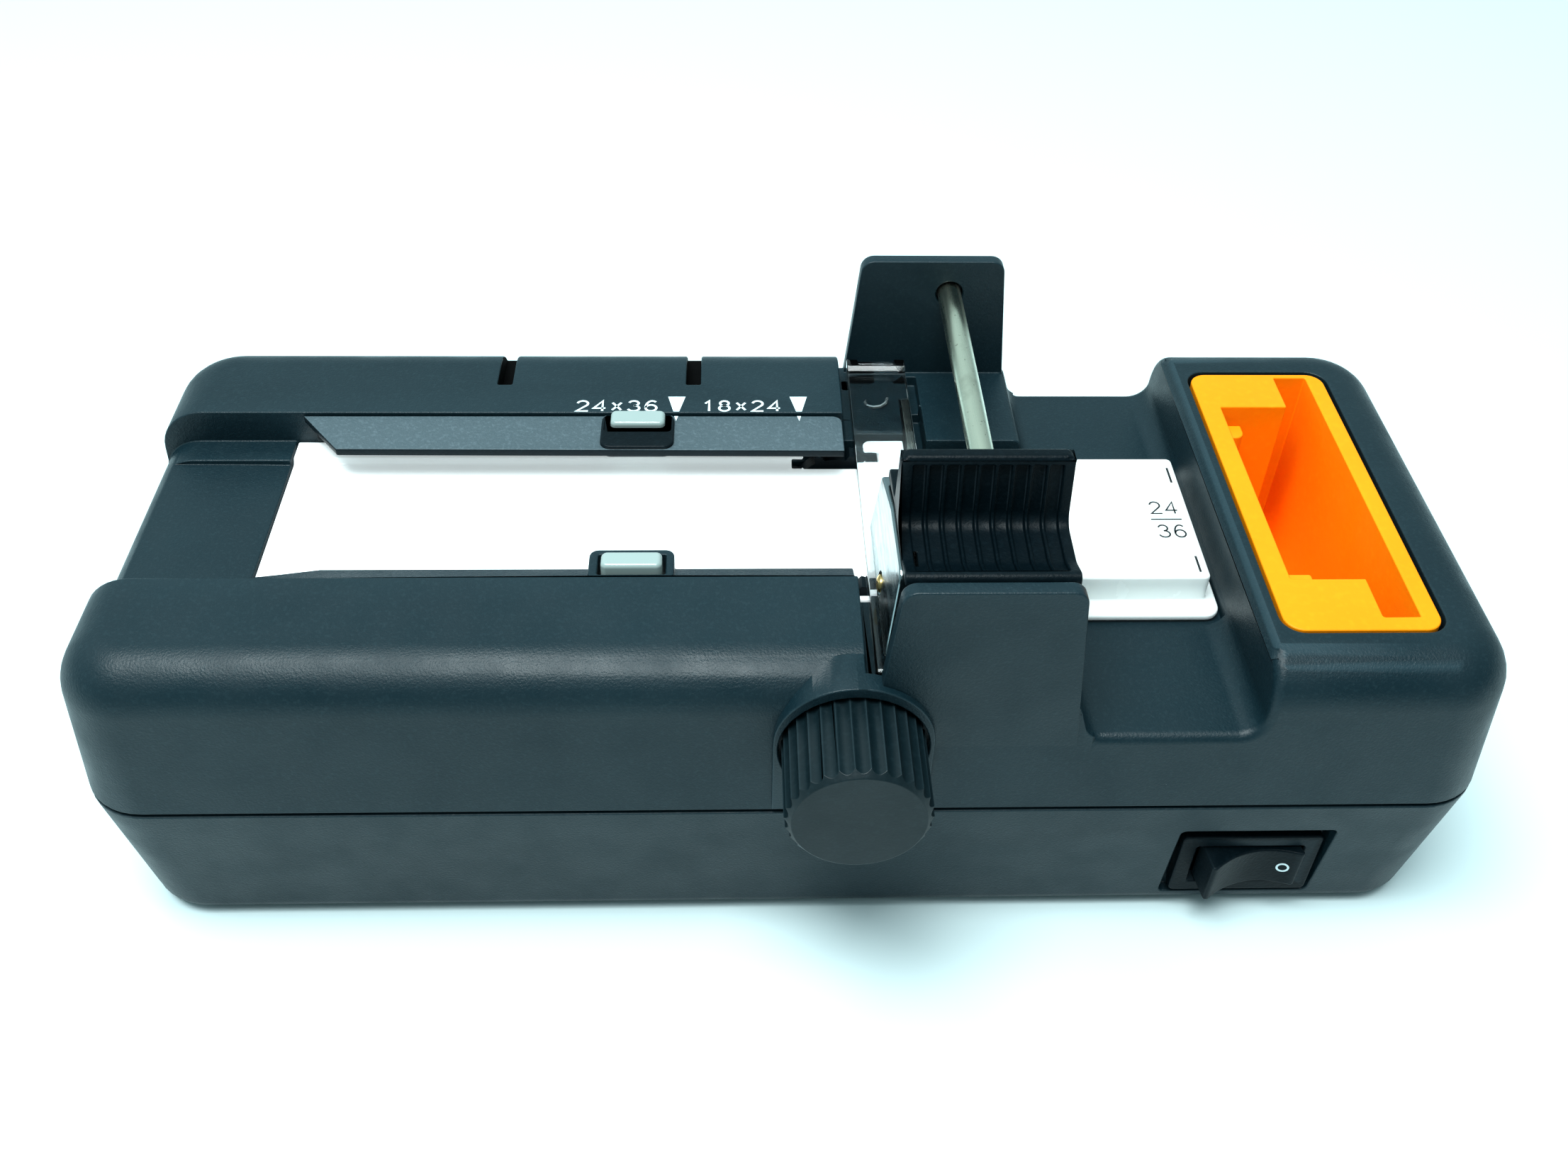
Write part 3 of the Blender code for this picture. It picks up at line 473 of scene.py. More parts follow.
def metal(name, colour, dark, roughness, stretch=(1.0, 1.0, 1.0), pits=0.6):
    """Drawn metal: fine lines along the piece, tarnish blotches and small dark pits."""
    skin, tree, shader = new_skin(name)
    place = add(tree, "ShaderNodeTexCoord").outputs["Object"]
    along = add(tree, "ShaderNodeMapping", {"Vector": place, "Scale": stretch}).outputs["Vector"]
    lines = noise(tree, along, 900.0, 3.0)
    shade = mix(tree, spread(tree, noise(tree, place, 130.0, 4.0, 0.65), 0.5, 0.75, 0.0, 0.7),
                rgb(*colour), rgb(*[(c + d) / 2 for c, d in zip(colour, dark)]))
    spots = spread(tree, noise(tree, place, 1300.0, 2.0, 0.7), 0.66, 0.74, 0.0, pits)
    shade = mix(tree, spots, shade, rgb(*dark))
    tree.links.new(shade, shader.inputs["Base Color"])
    shader.inputs["Metallic"].default_value = 1.0
    gloss = spread(tree, lines, 0.3, 0.7, roughness - 0.07, roughness + 0.12)
    tree.links.new(gloss, shader.inputs["Roughness"])
    bump = add(tree, "ShaderNodeBump", {"Strength": 0.35, "Distance": 0.00002, "Height": lines})
    tree.links.new(bump.outputs["Normal"], shader.inputs["Normal"])
    return skin


def ink(name, colour):
    """Screen-printed ink with a slightly uneven film."""
    skin, tree, shader = new_skin(name)
    place = add(tree, "ShaderNodeTexCoord").outputs["Object"]
    patchy = spread(tree, noise(tree, place, 1500.0, 2.0), 0.35, 0.7, 0.0, 0.35)
    shade = mix(tree, patchy, rgb(*colour), rgb(*[c * 0.75 for c in colour]))
    tree.links.new(shade, shader.inputs["Base Color"])
    shader.inputs["Roughness"].default_value = 0.55
    return skin


SHELL = moulded("shell_plastic", (0.004, 0.019, 0.027), (0.014, 0.036, 0.046), 0.40, 3400.0,
                0.00006, dust=0.9, wear=0.2, specular=0.36)
BLACK = moulded("black_moulding_plastic", (0.0015, 0.006, 0.009), (0.005, 0.013, 0.018), 0.37,
                2300.0, 0.00005, dust=0.6, wear=0.3, specular=0.13)
KNOB = moulded("knob_plastic", (0.003, 0.012, 0.016), (0.009, 0.022, 0.028), 0.42, 2300.0,
               0.00002, dust=0.9, wear=0.6, specular=0.32)
GRAIN = moulded("coarse_grain_plastic", (0.060, 0.092, 0.108), (0.12, 0.165, 0.19), 0.5, 3300.0,
                0.00014, wear=0.1, specular=0.5, blotch=0.05)
# Lighter copy of the shell plastic for the lip's sloping face: the lighter tone is a painted sheen, the
# grain is real.
LIP_SHEEN = moulded("lip_grain_painted_sheen", (0.012, 0.030, 0.040), (0.04, 0.065, 0.08), 0.45, 3000.0,
              0.00012, specular=0.4, blotch=0.1)
# Near-black paint for the inside walls and floor of the rim notches: painted shade, not a colour the
# shell has.
NOTCH_SHADE = moulded("painted_shade_unlit_gap", (0.0005, 0.0008, 0.001), (0.001, 0.0015, 0.002), 0.8, 2300.0,
              0.00002, specular=0.1)
PANEL = milk("opal_panel", (0.93, 0.985, 0.99), 0.45)
BLOCK = milk("opal_block", (0.86, 0.91, 0.90), 0.03)
WHITE = moulded("white_moulding_plastic", (0.78, 0.80, 0.78), (0.86, 0.88, 0.86), 0.4, 1800.0,
                0.00002)
CLEAR = clear_plastic("clear_acrylic_plastic", (0.93, 0.97, 0.98), 0.04)
PAD = clear_plastic("frosted_pad_plastic", (0.34, 0.42, 0.41), 0.16, through=0.0)
ORANGE = moulded("orange_plastic", (1.0, 0.31, 0.0), (1.0, 0.36, 0.003), 0.5, 1500.0, 0.00003,
                 wear=0.0, specular=0.3, blotch=0.5)
STEEL = metal("rod_steel", (0.66, 0.68, 0.56), (0.10, 0.09, 0.06), 0.24, (1.0, 0.05, 1.0))
BLADE = metal("blade_steel", (0.66, 0.64, 0.56), (0.16, 0.13, 0.09), 0.22, (1.0, 0.1, 1.0))
GUARD = metal("guard_steel", (0.27, 0.33, 0.345), (0.14, 0.16, 0.165), 0.2, (1.0, 0.2, 1.0), pits=0.2)
SPRING = metal("spring_steel", (0.55, 0.55, 0.55), (0.2, 0.2, 0.2), 0.3)
BRASS = metal("brass_metal", (0.78, 0.56, 0.24), (0.25, 0.15, 0.05), 0.25)
RUBBER = moulded("foot_rubber_skin", (0.012, 0.012, 0.013), (0.03, 0.03, 0.03), 0.8, 1200.0, 0.00005)
CELL = moulded("cell_jacket_skin", (0.05, 0.09, 0.13), (0.09, 0.14, 0.19), 0.3, 800.0, 0.00001)
LAMP = clear_plastic("lamp_glass_skin", (0.98, 0.97, 0.92), 0.02)
WHITE_INK = ink("white_ink", (0.72, 0.84, 0.87))
DARK_INK = ink("dark_ink", (0.012, 0.015, 0.018))


# ---------------------------------------------------------------- housing

def arc(centre, radius, start, end, steps=6):
    """Outline corners along an arc, angles in degrees."""
    points = []
    for step in range(steps + 1):
        angle = math.radians(start + (end - start) * step / steps)
        points.append((centre[0] + radius * math.cos(angle), centre[1] + radius * math.sin(angle), 0))
    return points


def post_outline(base):
    spread_out = (POST_TOP - base) * math.tan(math.radians(5.5))
    return [(POST_LEFT - spread_out, base, 0), (POST_RIGHT + spread_out, base, 0),
            (POST_RIGHT, POST_TOP, 2.0), (POST_LEFT, POST_TOP, 2.0)]


def saddle_edge(edge):
    """True where the deck and the saddle run out through the front or rear face."""
    if any(v.co.x < 36.5 or v.co.x > 61.5 or v.co.z < 38.0 or abs(v.co.y) < 28 for v in edge.verts):
        return False
    if edge.calc_face_angle(0.0) < math.radians(25):
        return False
    flat = [abs(f.normal.y) < 0.05 for f in edge.link_faces]
    outer = [abs(f.normal.y) > 0.3 for f in edge.link_faces]
    return any(flat) and any(outer)


def in_rim_mark(centre, normal):
    """Inside walls and floor of the two notches in the rear rim, which are painted near-black as
    painted shade.
    """
    return (any(x - 0.05 < centre.x < x + RIM_MARK_WIDTH + 0.05 for x in RIM_MARKS)
            and centre.y > 24.5 and centre.z < TOP_Z - 0.4
            and (abs(normal.x) > 0.9 or normal.z > 0.9 or normal.y > 0.9))


LIP_INNER_Y, LIP_INNER_Z, LIP_OUTER_Z, LIP_UNDERSIDE = -15.0, 47.3, 48.5, 44.3


def on_front_lip(centre, normal):
    """The lip's face that slopes down from the front rim towards the film, painted lighter as a painted
    sheen.
    """
    return (CHANNEL_FRONT < centre.y < -14.5 and 0.3 < normal.z < 0.95 and normal.y > 0.3
            and centre.z > 45)


HOOD_STEPS = 28
HOOD_Z = BOSS_Z - 0.08          # the hood's top lies just under the flat top of the rim


def hood_outline(right):
    """Half-round hood on straight sides, seen along Y, cut off at its right."""
    outline = [(FEED_X - BOSS_RADIUS, SEAM_HIGH + GAP, 0)]
    for step in range(HOOD_STEPS + 1):
        angle = math.pi * (1 - step / HOOD_STEPS)
        x = FEED_X + BOSS_RADIUS * math.cos(angle)
        if x < right:
            outline.append((x, HOOD_Z + BOSS_RADIUS * math.sin(angle), 0))
    if right < FEED_X + BOSS_RADIUS:
        rise = math.sqrt(BOSS_RADIUS ** 2 - (right - FEED_X) ** 2)
        outline.append((right, HOOD_Z + rise, 0))
    outline.append((min(right, FEED_X + BOSS_RADIUS), SEAM_HIGH + GAP, 0))
    return outline


def hood_crease(edge):
    """The inner corner where the hood meets the front wall and its rounded top."""
    return not edge.is_convex and all(v.co.y < -28 and -8 < v.co.x < 20 for v in edge.verts)


def top_shell():
    inset = (TOP_Z - SEAM_HIGH) * math.tan(UPPER_DRAFT)
    left, right = HOUSING_X - HALF_LENGTH, HOUSING_X + HALF_LENGTH
    shell = bevelled_block("upper", (left, -HALF_DEPTH, SEAM_HIGH), (right, HALF_DEPTH, TOP_Z),
                           inset, CORNER_RADIUS, top_round=TOP_ROUND)
    inner_y = HALF_DEPTH - WALL - 1.2
    cut(shell,
        box("cavity_low", (left + 3.4, -inner_y, 20), (right - 3.4, inner_y, 35.9)),
        box("cavity_panel", (-88, -16, 30), (58.5, 16, 36.0)),
        box("cavity_window", (-70, -15, 30), (-4, 15, 44)))
    lip = arc((SADDLE_WALL + 1.6, TOP_Z - 1.6), 1.6, 180, 90)
    deck = [(RIM_END_X, 70, 0), (RIM_END_X, FILM_Z, 0.8), (DECK_END_X, FILM_Z, 1.2),
            (SADDLE_LEFT, SADDLE_Z, 2.5), (SADDLE_RIGHT, SADDLE_Z, 3.0)] + lip + [(60.2, 70, 0)]
    wall = left + inset * (FILM_Z - SEAM_HIGH) / (TOP_Z - SEAM_HIGH)
    film = [(RIM_END_X + 1, 70, 0), (wall - 20, 70, 0), (wall - 20, 31, 0), (wall - 0.8, 31, 0),
            (wall, FILM_Z, 6.0), (RIM_END_X + 1, FILM_Z, 0)]
    cut(shell,
        prism("deck_space", deck, -60, 60),
        prism("film_space", film, CHANNEL_FRONT, CHANNEL_REAR, segments=10),
        box("picture_space", (-110, -RAIL_Y, PICTURE_Z), (PANEL_LEFT + 1, RAIL_Y, 50)),
        *[box("rim_mark", (x, 24.6, TOP_Z - RIM_MARK_DEPTH), (x + RIM_MARK_WIDTH, 60, 60))
          for x in RIM_MARKS],
        box("panel_seat", (PANEL_LEFT - GAP, -17.5, PANEL_UNDERSIDE - GAP), (DECK_END_X + 5, 17.5, 50)),
        box("block_seat", (DECK_END_X + 1, -16.6, SADDLE_Z), (SADDLE_RIGHT, 16.6, 50)),
        box("blade_seat", (PANEL_RIGHT, -26.3, 40.2), (20.3, 26.3, 50)),
        box("wheel_slot", (CUT_X + 0.1, -34, 41.8), (20.2, 34, 50)))
    lip_outline = [(CHANNEL_FRONT - 1, LIP_UNDERSIDE, 0), (LIP_INNER_Y, LIP_UNDERSIDE, 0),
                   (LIP_INNER_Y, LIP_INNER_Z, 0), (CHANNEL_FRONT, LIP_OUTER_Z, 0),
                   (CHANNEL_FRONT - 1, LIP_OUTER_Z, 0)]
    front_lip = prism("front_lip", lip_outline, -71.7, RIM_END_X - 0.4, axis="X")
    slant = [(-80, -14, 0), (-60, -14, 0), (-71.9, -18.2, 0), (-80, -18.2, 0)]
    cut(front_lip, prism("lip_slant", slant, 40, 55, axis="Z"),
        box("lip_tooth_relief", (-0.5, -16.2, 43), (15, -10, 45.4)))
    join(shell, front_lip,
         prism("front_surround", rectangle(-27.7, -18.5, -16.5, -12.7, 1.2), 44.3, 48.6, axis="Z"),
         prism("front_post", post_outline(33.0), -POST_OUTER, -POST_INNER),
         prism("rear_post", post_outline(33.0), POST_INNER, POST_OUTER),
         prism("hood_front", hood_outline(100), BOSS_FRONT, -35.3),
         prism("hood_back", hood_outline(RIM_END_X - 0.1), BOSS_FRONT + 0.01, -32.0))
    cut(shell,
        rod("knob_recess", KNOB_RADIUS + 0.4, (FEED_X, -60, FEED_Z), (FEED_X, KNOB_BACK + GAP, FEED_Z),
            sides=96),
        rod("shaft_bore", 2.3, (FEED_X, -45, FEED_Z), (FEED_X, 27, FEED_Z), sides=24),
        *[box("sprocket_slot", (FEED_X - 7.9, y - 1.7, 28), (FEED_X + 7.9, y + 1.7, 46))
          for y in (-SPROCKET_Y, SPROCKET_Y)],
        rod("rod_pocket", ROD_RADIUS + GAP, (ROD_X, 0.7 - POST_OUTER, ROD_Z),
            (ROD_X, POST_OUTER - 0.7, ROD_Z), sides=32),
        box("front_leg_slot", (8.5, -34.9, 39.2), (18.2, -32.6, 50)),
        box("rear_leg_slot", (8.5, 30.6, 39.2), (18.2, 32.9, 50)),
        box("front_pad_slot", (-26.5, -17.5, 44.0), (-17.6, -13.7, 60)),
        prism("insert_space", rectangle(INSERT_LEFT - 0.5, INSERT_FRONT - 0.5, INSERT_RIGHT + 0.5,
                                        INSERT_REAR + 0.5, 3.0),
              TOP_Z - INSERT_DEPTH - GAP, 60, axis="Z"))
    # The rim notches are painted near-black as painted shade, and the lip's sloping face lighter as a
    # painted sheen.
    finish(shell, "upper_housing", "housing", ["top_shell"], SHELL, edge=0.22, steps=2,
           wanted=saddle_edge, big_edge=1.3, repaint=((NOTCH_SHADE, in_rim_mark), (LIP_SHEEN, on_front_lip)),
           crisp=hood_crease)


def base_shell():
    inset = (SEAM_LOW - FOOT_HEIGHT) * math.tan(LOWER_DRAFT)
    left, right = HOUSING_X - HALF_LENGTH, HOUSING_X + HALF_LENGTH
    shell = bevelled_block("lower", (left, -HALF_DEPTH, FOOT_HEIGHT), (right, HALF_DEPTH, SEAM_LOW),
                           0.0, CORNER_RADIUS, bottom_round=2.6)
    for vert in shell.data.vertices:
        drop = SEAM_LOW - vert.co.z
        vert.co.x -= math.copysign(drop * math.tan(LOWER_DRAFT), vert.co.x - HOUSING_X)
        vert.co.y -= math.copysign(drop * math.tan(LOWER_DRAFT), vert.co.y)
    step = WALL + inset
    cut(shell, box("base_cavity", (left + step, step - HALF_DEPTH, FOOT_HEIGHT + 2.6),
                   (right - step, HALF_DEPTH - step, 40)))
    join(shell, box("switch_wall", (49.5, -34.9, 3.0), (75.7, -32.4, 21.5)))
    cut(shell,
        prism("switch_recess", rectangle(51.9, 3.4, 73.3, 19.1, 0.8), -60, -34.2),
        box("switch_cutout", (SWITCH_X - 8.7, -40, 5.2), (SWITCH_X + 8.7, -30, 15.6)),
        box("door_opening", (-120, -22.0, -5), (-30.0, 22.0, 1.5)),
        box("door_groove", (-120, -24.3, 1.35), (-29.0, 24.3, 3.2)),
        box("cell_opening", (-84.0, -23.0, 1.35), (-29.0, 23.0, 6.0)))
    for x, y in SCREW_PLACES:
        cut(shell, rod("screw_head_space", 3.0, (x, y, 0), (x, y, 2.6), sides=32))
    for x, y in FOOT_PLACES:
        cut(shell, rod("foot_recess", 4.3, (x, y, 0), (x, y, 1.5), sides=32))
    finish(shell, "lower_housing", "housing", ["base_shell"], SHELL, edge=0.25, steps=2)


def rear_guide():
    outline = [(-71.5, 17.2, 0), (-65.3, 9.3, 0), (7.3, 8.9, 0), (7.3, 17.2, 1.5)]
    plate = prism("plate", outline, 47.1, 48.3, axis="Z")
    join(plate, box("web", (-70.0, 16.4, 44.3), (7.0, 17.2, 47.6)))
    cut(plate, prism("frame_hole", rectangle(-27.5, 9.6, -17.7, 17.4, 0.8), 40, 60, axis="Z"),
        box("tooth_relief", (-1.2, 11.8, 40), (15, 16.4, 45.0)))
    finish(plate, "rear_film_guide", "housing", ["film_guide_rear"], GRAIN, edge=0.18,
           repaint=((BLACK, lambda centre, normal: normal.z < 0.5),))
    frame_ring = prism("ring", rectangle(-27.9, 9.2, -17.3, 17.2, 1.6), 46.8, 48.8, axis="Z")
    cut(frame_ring, box("slot", (-27.2, 13.0, 40), (-18.0, 17.5, 60)))
    finish(frame_ring, "rear_pad_frame", "housing", [], BLACK, edge=0.3, steps=3)


NOTCH_LEFT, NOTCH_RIGHT, PANEL_CORNER_Y = 1.6, 10.5, 15.9


def light_panel():
    panel = box("panel", (PANEL_LEFT, -17.2, PANEL_UNDERSIDE), (PANEL_RIGHT - GAP, 17.2, FILM_Z))
    band = [(-RAIL_Y - 0.7, 50, 0), (-RAIL_Y - 0.7, FILM_Z, 0), (-RAIL_Y, PICTURE_Z, 0),
            (RAIL_Y, PICTURE_Z, 0), (RAIL_Y + 0.7, FILM_Z, 0), (RAIL_Y + 0.7, 50, 0)]
    cut(panel, prism("picture_band", band, -90, 40, axis="X"))
    for y in (-SPROCKET_Y, SPROCKET_Y):
        cut(panel, box("tooth_slot", (NOTCH_LEFT, y - 2.2, 30), (NOTCH_RIGHT, y + 2.2, 50)),
            box("tooth_slot_below", (FEED_X - 6.4, y - 2.2, 30), (FEED_X + 6.4, y + 2.2, 43.2)))
    corner = [(NOTCH_LEFT, 11.8, 0), (NOTCH_RIGHT, 11.8, 0), (NOTCH_RIGHT, PANEL_CORNER_Y, 1.2),
              (30, PANEL_CORNER_Y, 0), (30, 20, 0), (NOTCH_LEFT, 20, 0)]
    cut(panel, prism("rear_corner", corner, 30, 60, axis="Z"))
    finish(panel, "opal_light_panel", "housing", ["light_panel"], PANEL, edge=0.2)


def stop_block():
    block = prism("block", rectangle(20.5, -13.1, 56.4, 13.1, 0.8), PANEL_UNDERSIDE, FILM_Z, axis="Z")
    join(block, prism("block_body", rectangle(36.6, -13.1, 56.4, 13.1, 0.8), SADDLE_Z + GAP, 42.0,
                      axis="Z"),
         prism("flange", rectangle(36.9, -16.3, 57.9, 16.3, 2.2), SADDLE_Z + GAP, 39.4, axis="Z"))
    finish(block, "opal_stop_block", "housing", ["stop_block"], BLOCK, edge=0.3,
           steps=3)


def mount_tray():
    outline = rectangle(INSERT_LEFT, INSERT_FRONT, INSERT_RIGHT, INSERT_REAR, 2.5)
    tray = prism("tray", outline, TOP_Z - INSERT_DEPTH, TOP_Z - 0.1, axis="Z")
    slope = [(64.4, 60, 0), (64.4, 44.5, 0), (75.0, 24.0, 0), (75.0, 60, 0)]
    cut(tray, box("mount_slot", (74.4, -26.0, 21.5), (79.3, 26.6, 60)),
        prism("tray_slope", slope, -18.8, 19.1))
    join(tray,
         prism("front_step", rectangle(64.0, -19.2, 67.6, -17.4, 0.4), 40.0, TOP_Z - 0.6, axis="Z"),
         prism("rear_ledge", [(64.0, 14.4, 0), (67.4, 14.4, 1.4), (67.4, 17.4, 0), (64.0, 17.4, 0)],
               36.0, 46.4, axis="Z"))
    finish(tray, "orange_mount_tray", "housing", ["mount_tray"], ORANGE, edge=0.25,
           steps=3)


def blade_and_rod():
    blade = box("blade", (PANEL_RIGHT + GAP, -26.0, 40.5), (CUT_X, 26.0, FILM_Z + 0.1))
    finish(blade, "fixed_blade", "housing", ["counter_blade"], BLADE, edge=0.12)
    reach = POST_OUTER - 1.0
    profile = [(0, ROD_RADIUS - 0.3), (0.3, ROD_RADIUS), (2 * reach - 0.3, ROD_RADIUS),
               (2 * reach, ROD_RADIUS - 0.3)]
    guide = lathe("guide", profile, (ROD_X, -reach, ROD_Z), (0, 1, 0), sides=48)
    finish(guide, "steel_guide_rod", "housing", ["guide_rod"], STEEL, edge=0)


# ---------------------------------------------------------------- film strip and pads

def pressure_strip():
    outline = [(-34.5, 40.2, 0), (-33.0, 40.2, 0), (-33.0, 45.2, 0.6), (31.0, 45.2, 0.6),
               (31.0, 40.2, 0), (32.5, 40.2, 0), (32.5, 48.2, 0.8), (30.4, 48.2, 0.4),
               (29.6, 47.6, 0.4), (-34.5, 47.6, 1.2)]
    strip = prism("strip", outline, 8.9, 17.9, axis="X")
    cut(strip, box("rear_notch", (10.6, 31.0, 47.4), (16.2, 33, 50)))
    finish(strip, "clear_pressure_strip", "strip", ["pressure_strip"], CLEAR,
           edge=0.18)


def film_pad(name, node, low, high, body):
    pad = bevelled_block("pad", low, high, 0.15, 0.8, top_round=0.6, segments=5)
    finish(pad, name, body, [node], PAD, edge=0.12)


# ---------------------------------------------------------------- knife carriage

GROOVE_COUNT, GROOVE_LEFT, GROOVE_PITCH, GROOVE_WIDTH = 9, 12.84, 2.07, 1.6


FIN_TOP = 69.5                  # only the fin reaches above this


def fin_corner(edge):
    """The two top corners of the upright fin."""
    return (all(v.co.z > FIN_TOP for v in edge.verts)
            and any(f.normal.x ** 2 > 0.8 for f in edge.link_faces)
            and any(f.normal.z > 0.5 for f in edge.link_faces))


def carriage():
    outline = [(-33.2, 44.5, 0.8), (-9.2, 44.5, 0.8), (-10.2, 60.8, 1.5), (-17.3, 61.0, 1.5),
               (-18.9, 70.4, 0.7), (-20.8, 70.4, 0.7), (-22.4, 61.4, 2.0), (-29.0, 61.0, 3.0),
               (-32.6, 62.2, 0.9), (-33.4, 58.0, 0)]
    body = prism("body", outline, 11.4, 32.4, axis="X")
    cut(body,
        prism("guard_clearance", [(-60, 40, 0), (0, 40, 0), (0, 58.2, 0), (-8.5, 58.2, 0),
                                  (-17.8, 60.5, 0), (-60, 60.9, 0)], 0, 13.4, axis="X"),
        box("strip_clearance", (0, -60, 40), (CUT_X + 0.1, 60, 48.7)),
        prism("wheel_space", [(-31.5, 40, 0), (-11.5, 40, 0), (-11.5, 59.4, 3), (-31.5, 59.4, 3)],
              WHEEL_X - 0.9, WHEEL_X + 0.9, axis="X"),
        rod("rod_bore", ROD_RADIUS + GAP, (ROD_X, -60, ROD_Z), (ROD_X, 60, ROD_Z)),
        rod("axle_bore", 1.5, (10, WHEEL_Y, WHEEL_Z), (25, WHEEL_Y, WHEEL_Z), sides=16))
    groove = [(-20.3, 69.2, 0), (-21.85, 60.9, 2.4), (-28.9, 60.45, 2.6), (-31.5, 61.35, 0),
              (-31.6, 66.0, 0), (-24.0, 69.3, 0)]
    for index in range(GROOVE_COUNT):
        x = GROOVE_LEFT + index * GROOVE_PITCH
        cut(body, prism("groove", groove, x, x + GROOVE_WIDTH, axis="X"))
    finish(body, "carriage_grip", "carriage", ["cutter_carriage"], BLACK, edge=0.22,
           steps=3, angle=30, wanted=fin_corner, big_edge=1.1)


def guard_and_wheel():
    lean = [(9.7, 48.7, 0), (13.1, 48.7, 0), (13.1, 61.0, 0), (11.15, 61.0, 0)]
    outline = [(-33.2, 48.7, 0.6), (-8.2, 48.7, 0.6), (-8.6, 57.7, 0.6), (-17.9, 60.0, 0),
               (-30.5, 60.4, 2.0)]
    guard = prism("guard", lean, -40, 0)
    combine(guard, [prism("guard_outline", outline, 0, 20, axis="X")], "INTERSECT")
    cut(guard, rod("bore", 1.5, (5, WHEEL_Y, WHEEL_Z), (15, WHEEL_Y, WHEEL_Z), sides=32))
    finish(guard, "wheel_guard_plate", "carriage", ["blade_guard"], GUARD, edge=0.25,
           steps=3)
    wheel = lathe("wheel", [(0, WHEEL_RADIUS - 1.0), (0, WHEEL_RADIUS), (0.1, WHEEL_RADIUS),
                            (0.6, WHEEL_RADIUS - 0.8)], (WHEEL_X - 0.3, WHEEL_Y, WHEEL_Z), (1, 0, 0),
                  sides=96)
    cut(wheel, rod("bore", 1.5, (WHEEL_X - 3, WHEEL_Y, WHEEL_Z), (WHEEL_X + 3, WHEEL_Y, WHEEL_Z)))
    finish(wheel, "round_blade", "wheel", ["cutter_wheel"], BLADE, edge=0)
    axle = lathe("axle", [(0, 0.5), (0.15, 0.9), (0.4, 1.2), (14.8, 1.2), (15.1, 0.9)],
                 (9.5, WHEEL_Y, WHEEL_Z), (1, 0, 0), sides=32)
    finish(axle, "brass_wheel_axle", "carriage", ["wheel_axle"], BRASS, edge=0)


# ---------------------------------------------------------------- feed knob and switch

FLUTES, FLUTE_DEPTH, FLUTE_STEPS = 30, 0.5, 8


def feed_knob():
    """Concave flutes with sharp crests, a chamfer that cuts them into scallops, and a smooth face."""
    outline = []
    for index in range(FLUTES * FLUTE_STEPS):
        share = (index % FLUTE_STEPS) / FLUTE_STEPS
        reach = KNOB_RADIUS - FLUTE_DEPTH * math.sin(math.pi * share) ** 0.8
        angle = math.tau * index / (FLUTES * FLUTE_STEPS)
        outline.append((FEED_X + reach * math.cos(angle), FEED_Z + reach * math.sin(angle), 0))
    length = KNOB_BACK - KNOB_FACE
    knob = prism("knob", outline, KNOB_FACE, KNOB_BACK)
    turned = [(0, 0), (0, KNOB_RADIUS - 0.95), (0.06, KNOB_RADIUS - 0.85), (0.2, KNOB_RADIUS - 0.75),
              (1.1, KNOB_RADIUS + 0.1), (length, KNOB_RADIUS + 0.1), (length, 0)]
    combine(knob, [lathe("turned", turned, (FEED_X, KNOB_FACE, FEED_Z), (0, 1, 0), sides=120)],
            "INTERSECT")
    cut(knob, rod("socket", 2.3, (FEED_X, KNOB_FACE + 4, FEED_Z), (FEED_X, -20, FEED_Z), sides=24))
    finish(knob, "fluted_feed_knob", "feed", ["feed_knob"], KNOB, edge=0.06,
           steps=2, angle=28)


def rocker_surface(x):
    return -2.2 - 1.8 * (x / 6.3) ** 2


def power_switch():
    x, z = SWITCH_X, SWITCH_Z
    bezel = prism("bezel", rectangle(x - 9.8, 4.4, x + 9.8, 16.4, 0.8), -36.4, -34.5)
    join(bezel, box("switch_body", (x - 8.4, -34.8, 5.5), (x + 8.4, -20.0, 15.3)))
    cut(bezel, box("rocker_space", (x - 7.5, -50, 6.5), (x + 7.5, -26.5, 14.3)))
    finish(bezel, "switch_bezel", "housing", ["switch_frame"], BLACK, edge=0.3,
           steps=3)
    top = [(-6.3 + 12.6 * i / 16, rocker_surface(-6.3 + 12.6 * i / 16), 0) for i in range(17)]
    outline = [(-6.9, -3.9, 0)] + top + [(6.9, -3.9, 0), (6.6, 0.8, 0), (3.6, 4.4, 0),
                                         (-3.6, 4.4, 0), (-6.6, 0.8, 0)]
    rocker = prism("rocker", outline, z - 3.6, z + 3.6, axis="Z")
    tilt = Matrix.Translation((x, SWITCH_PIVOT_Y, 0)) @ Matrix.Rotation(ROCKER_TILT, 4, "Z")
    rocker.data.transform(tilt)
    finish(rocker, "switch_rocker_cap", "rocker", ["switch_rocker"], BLACK,
           edge=0.3, steps=3, angle=40)
    ring = lathe("ring", [(0, 0.62), (0, 0.92), (0.08, 0.92), (0.08, 0.62), (0, 0.62)], (0, 0, 0),
                 (0, 0, 1), sides=40)
    slope = math.atan2(rocker_surface(4.9) - rocker_surface(4.3), 0.6)
    seat = Matrix.Translation((4.6, rocker_surface(4.6) + 0.02, z)) @ Matrix.Rotation(slope, 4, "Z")
    ring.data.transform(tilt @ seat @ Matrix.Rotation(math.radians(90), 4, "X"))
    finish(ring, "off_ring_mark", "rocker", [], WHITE_INK, edge=0)


# ---------------------------------------------------------------- printed marks

def bend(centre, reach, start, end, steps=14):
    """Points along an ellipse, angles in degrees."""
    return [(centre[0] + reach[0] * math.cos(math.radians(start + (end - start) * i / steps)),
             centre[1] + reach[1] * math.sin(math.radians(start + (end - start) * i / steps)))
            for i in range(steps + 1)]


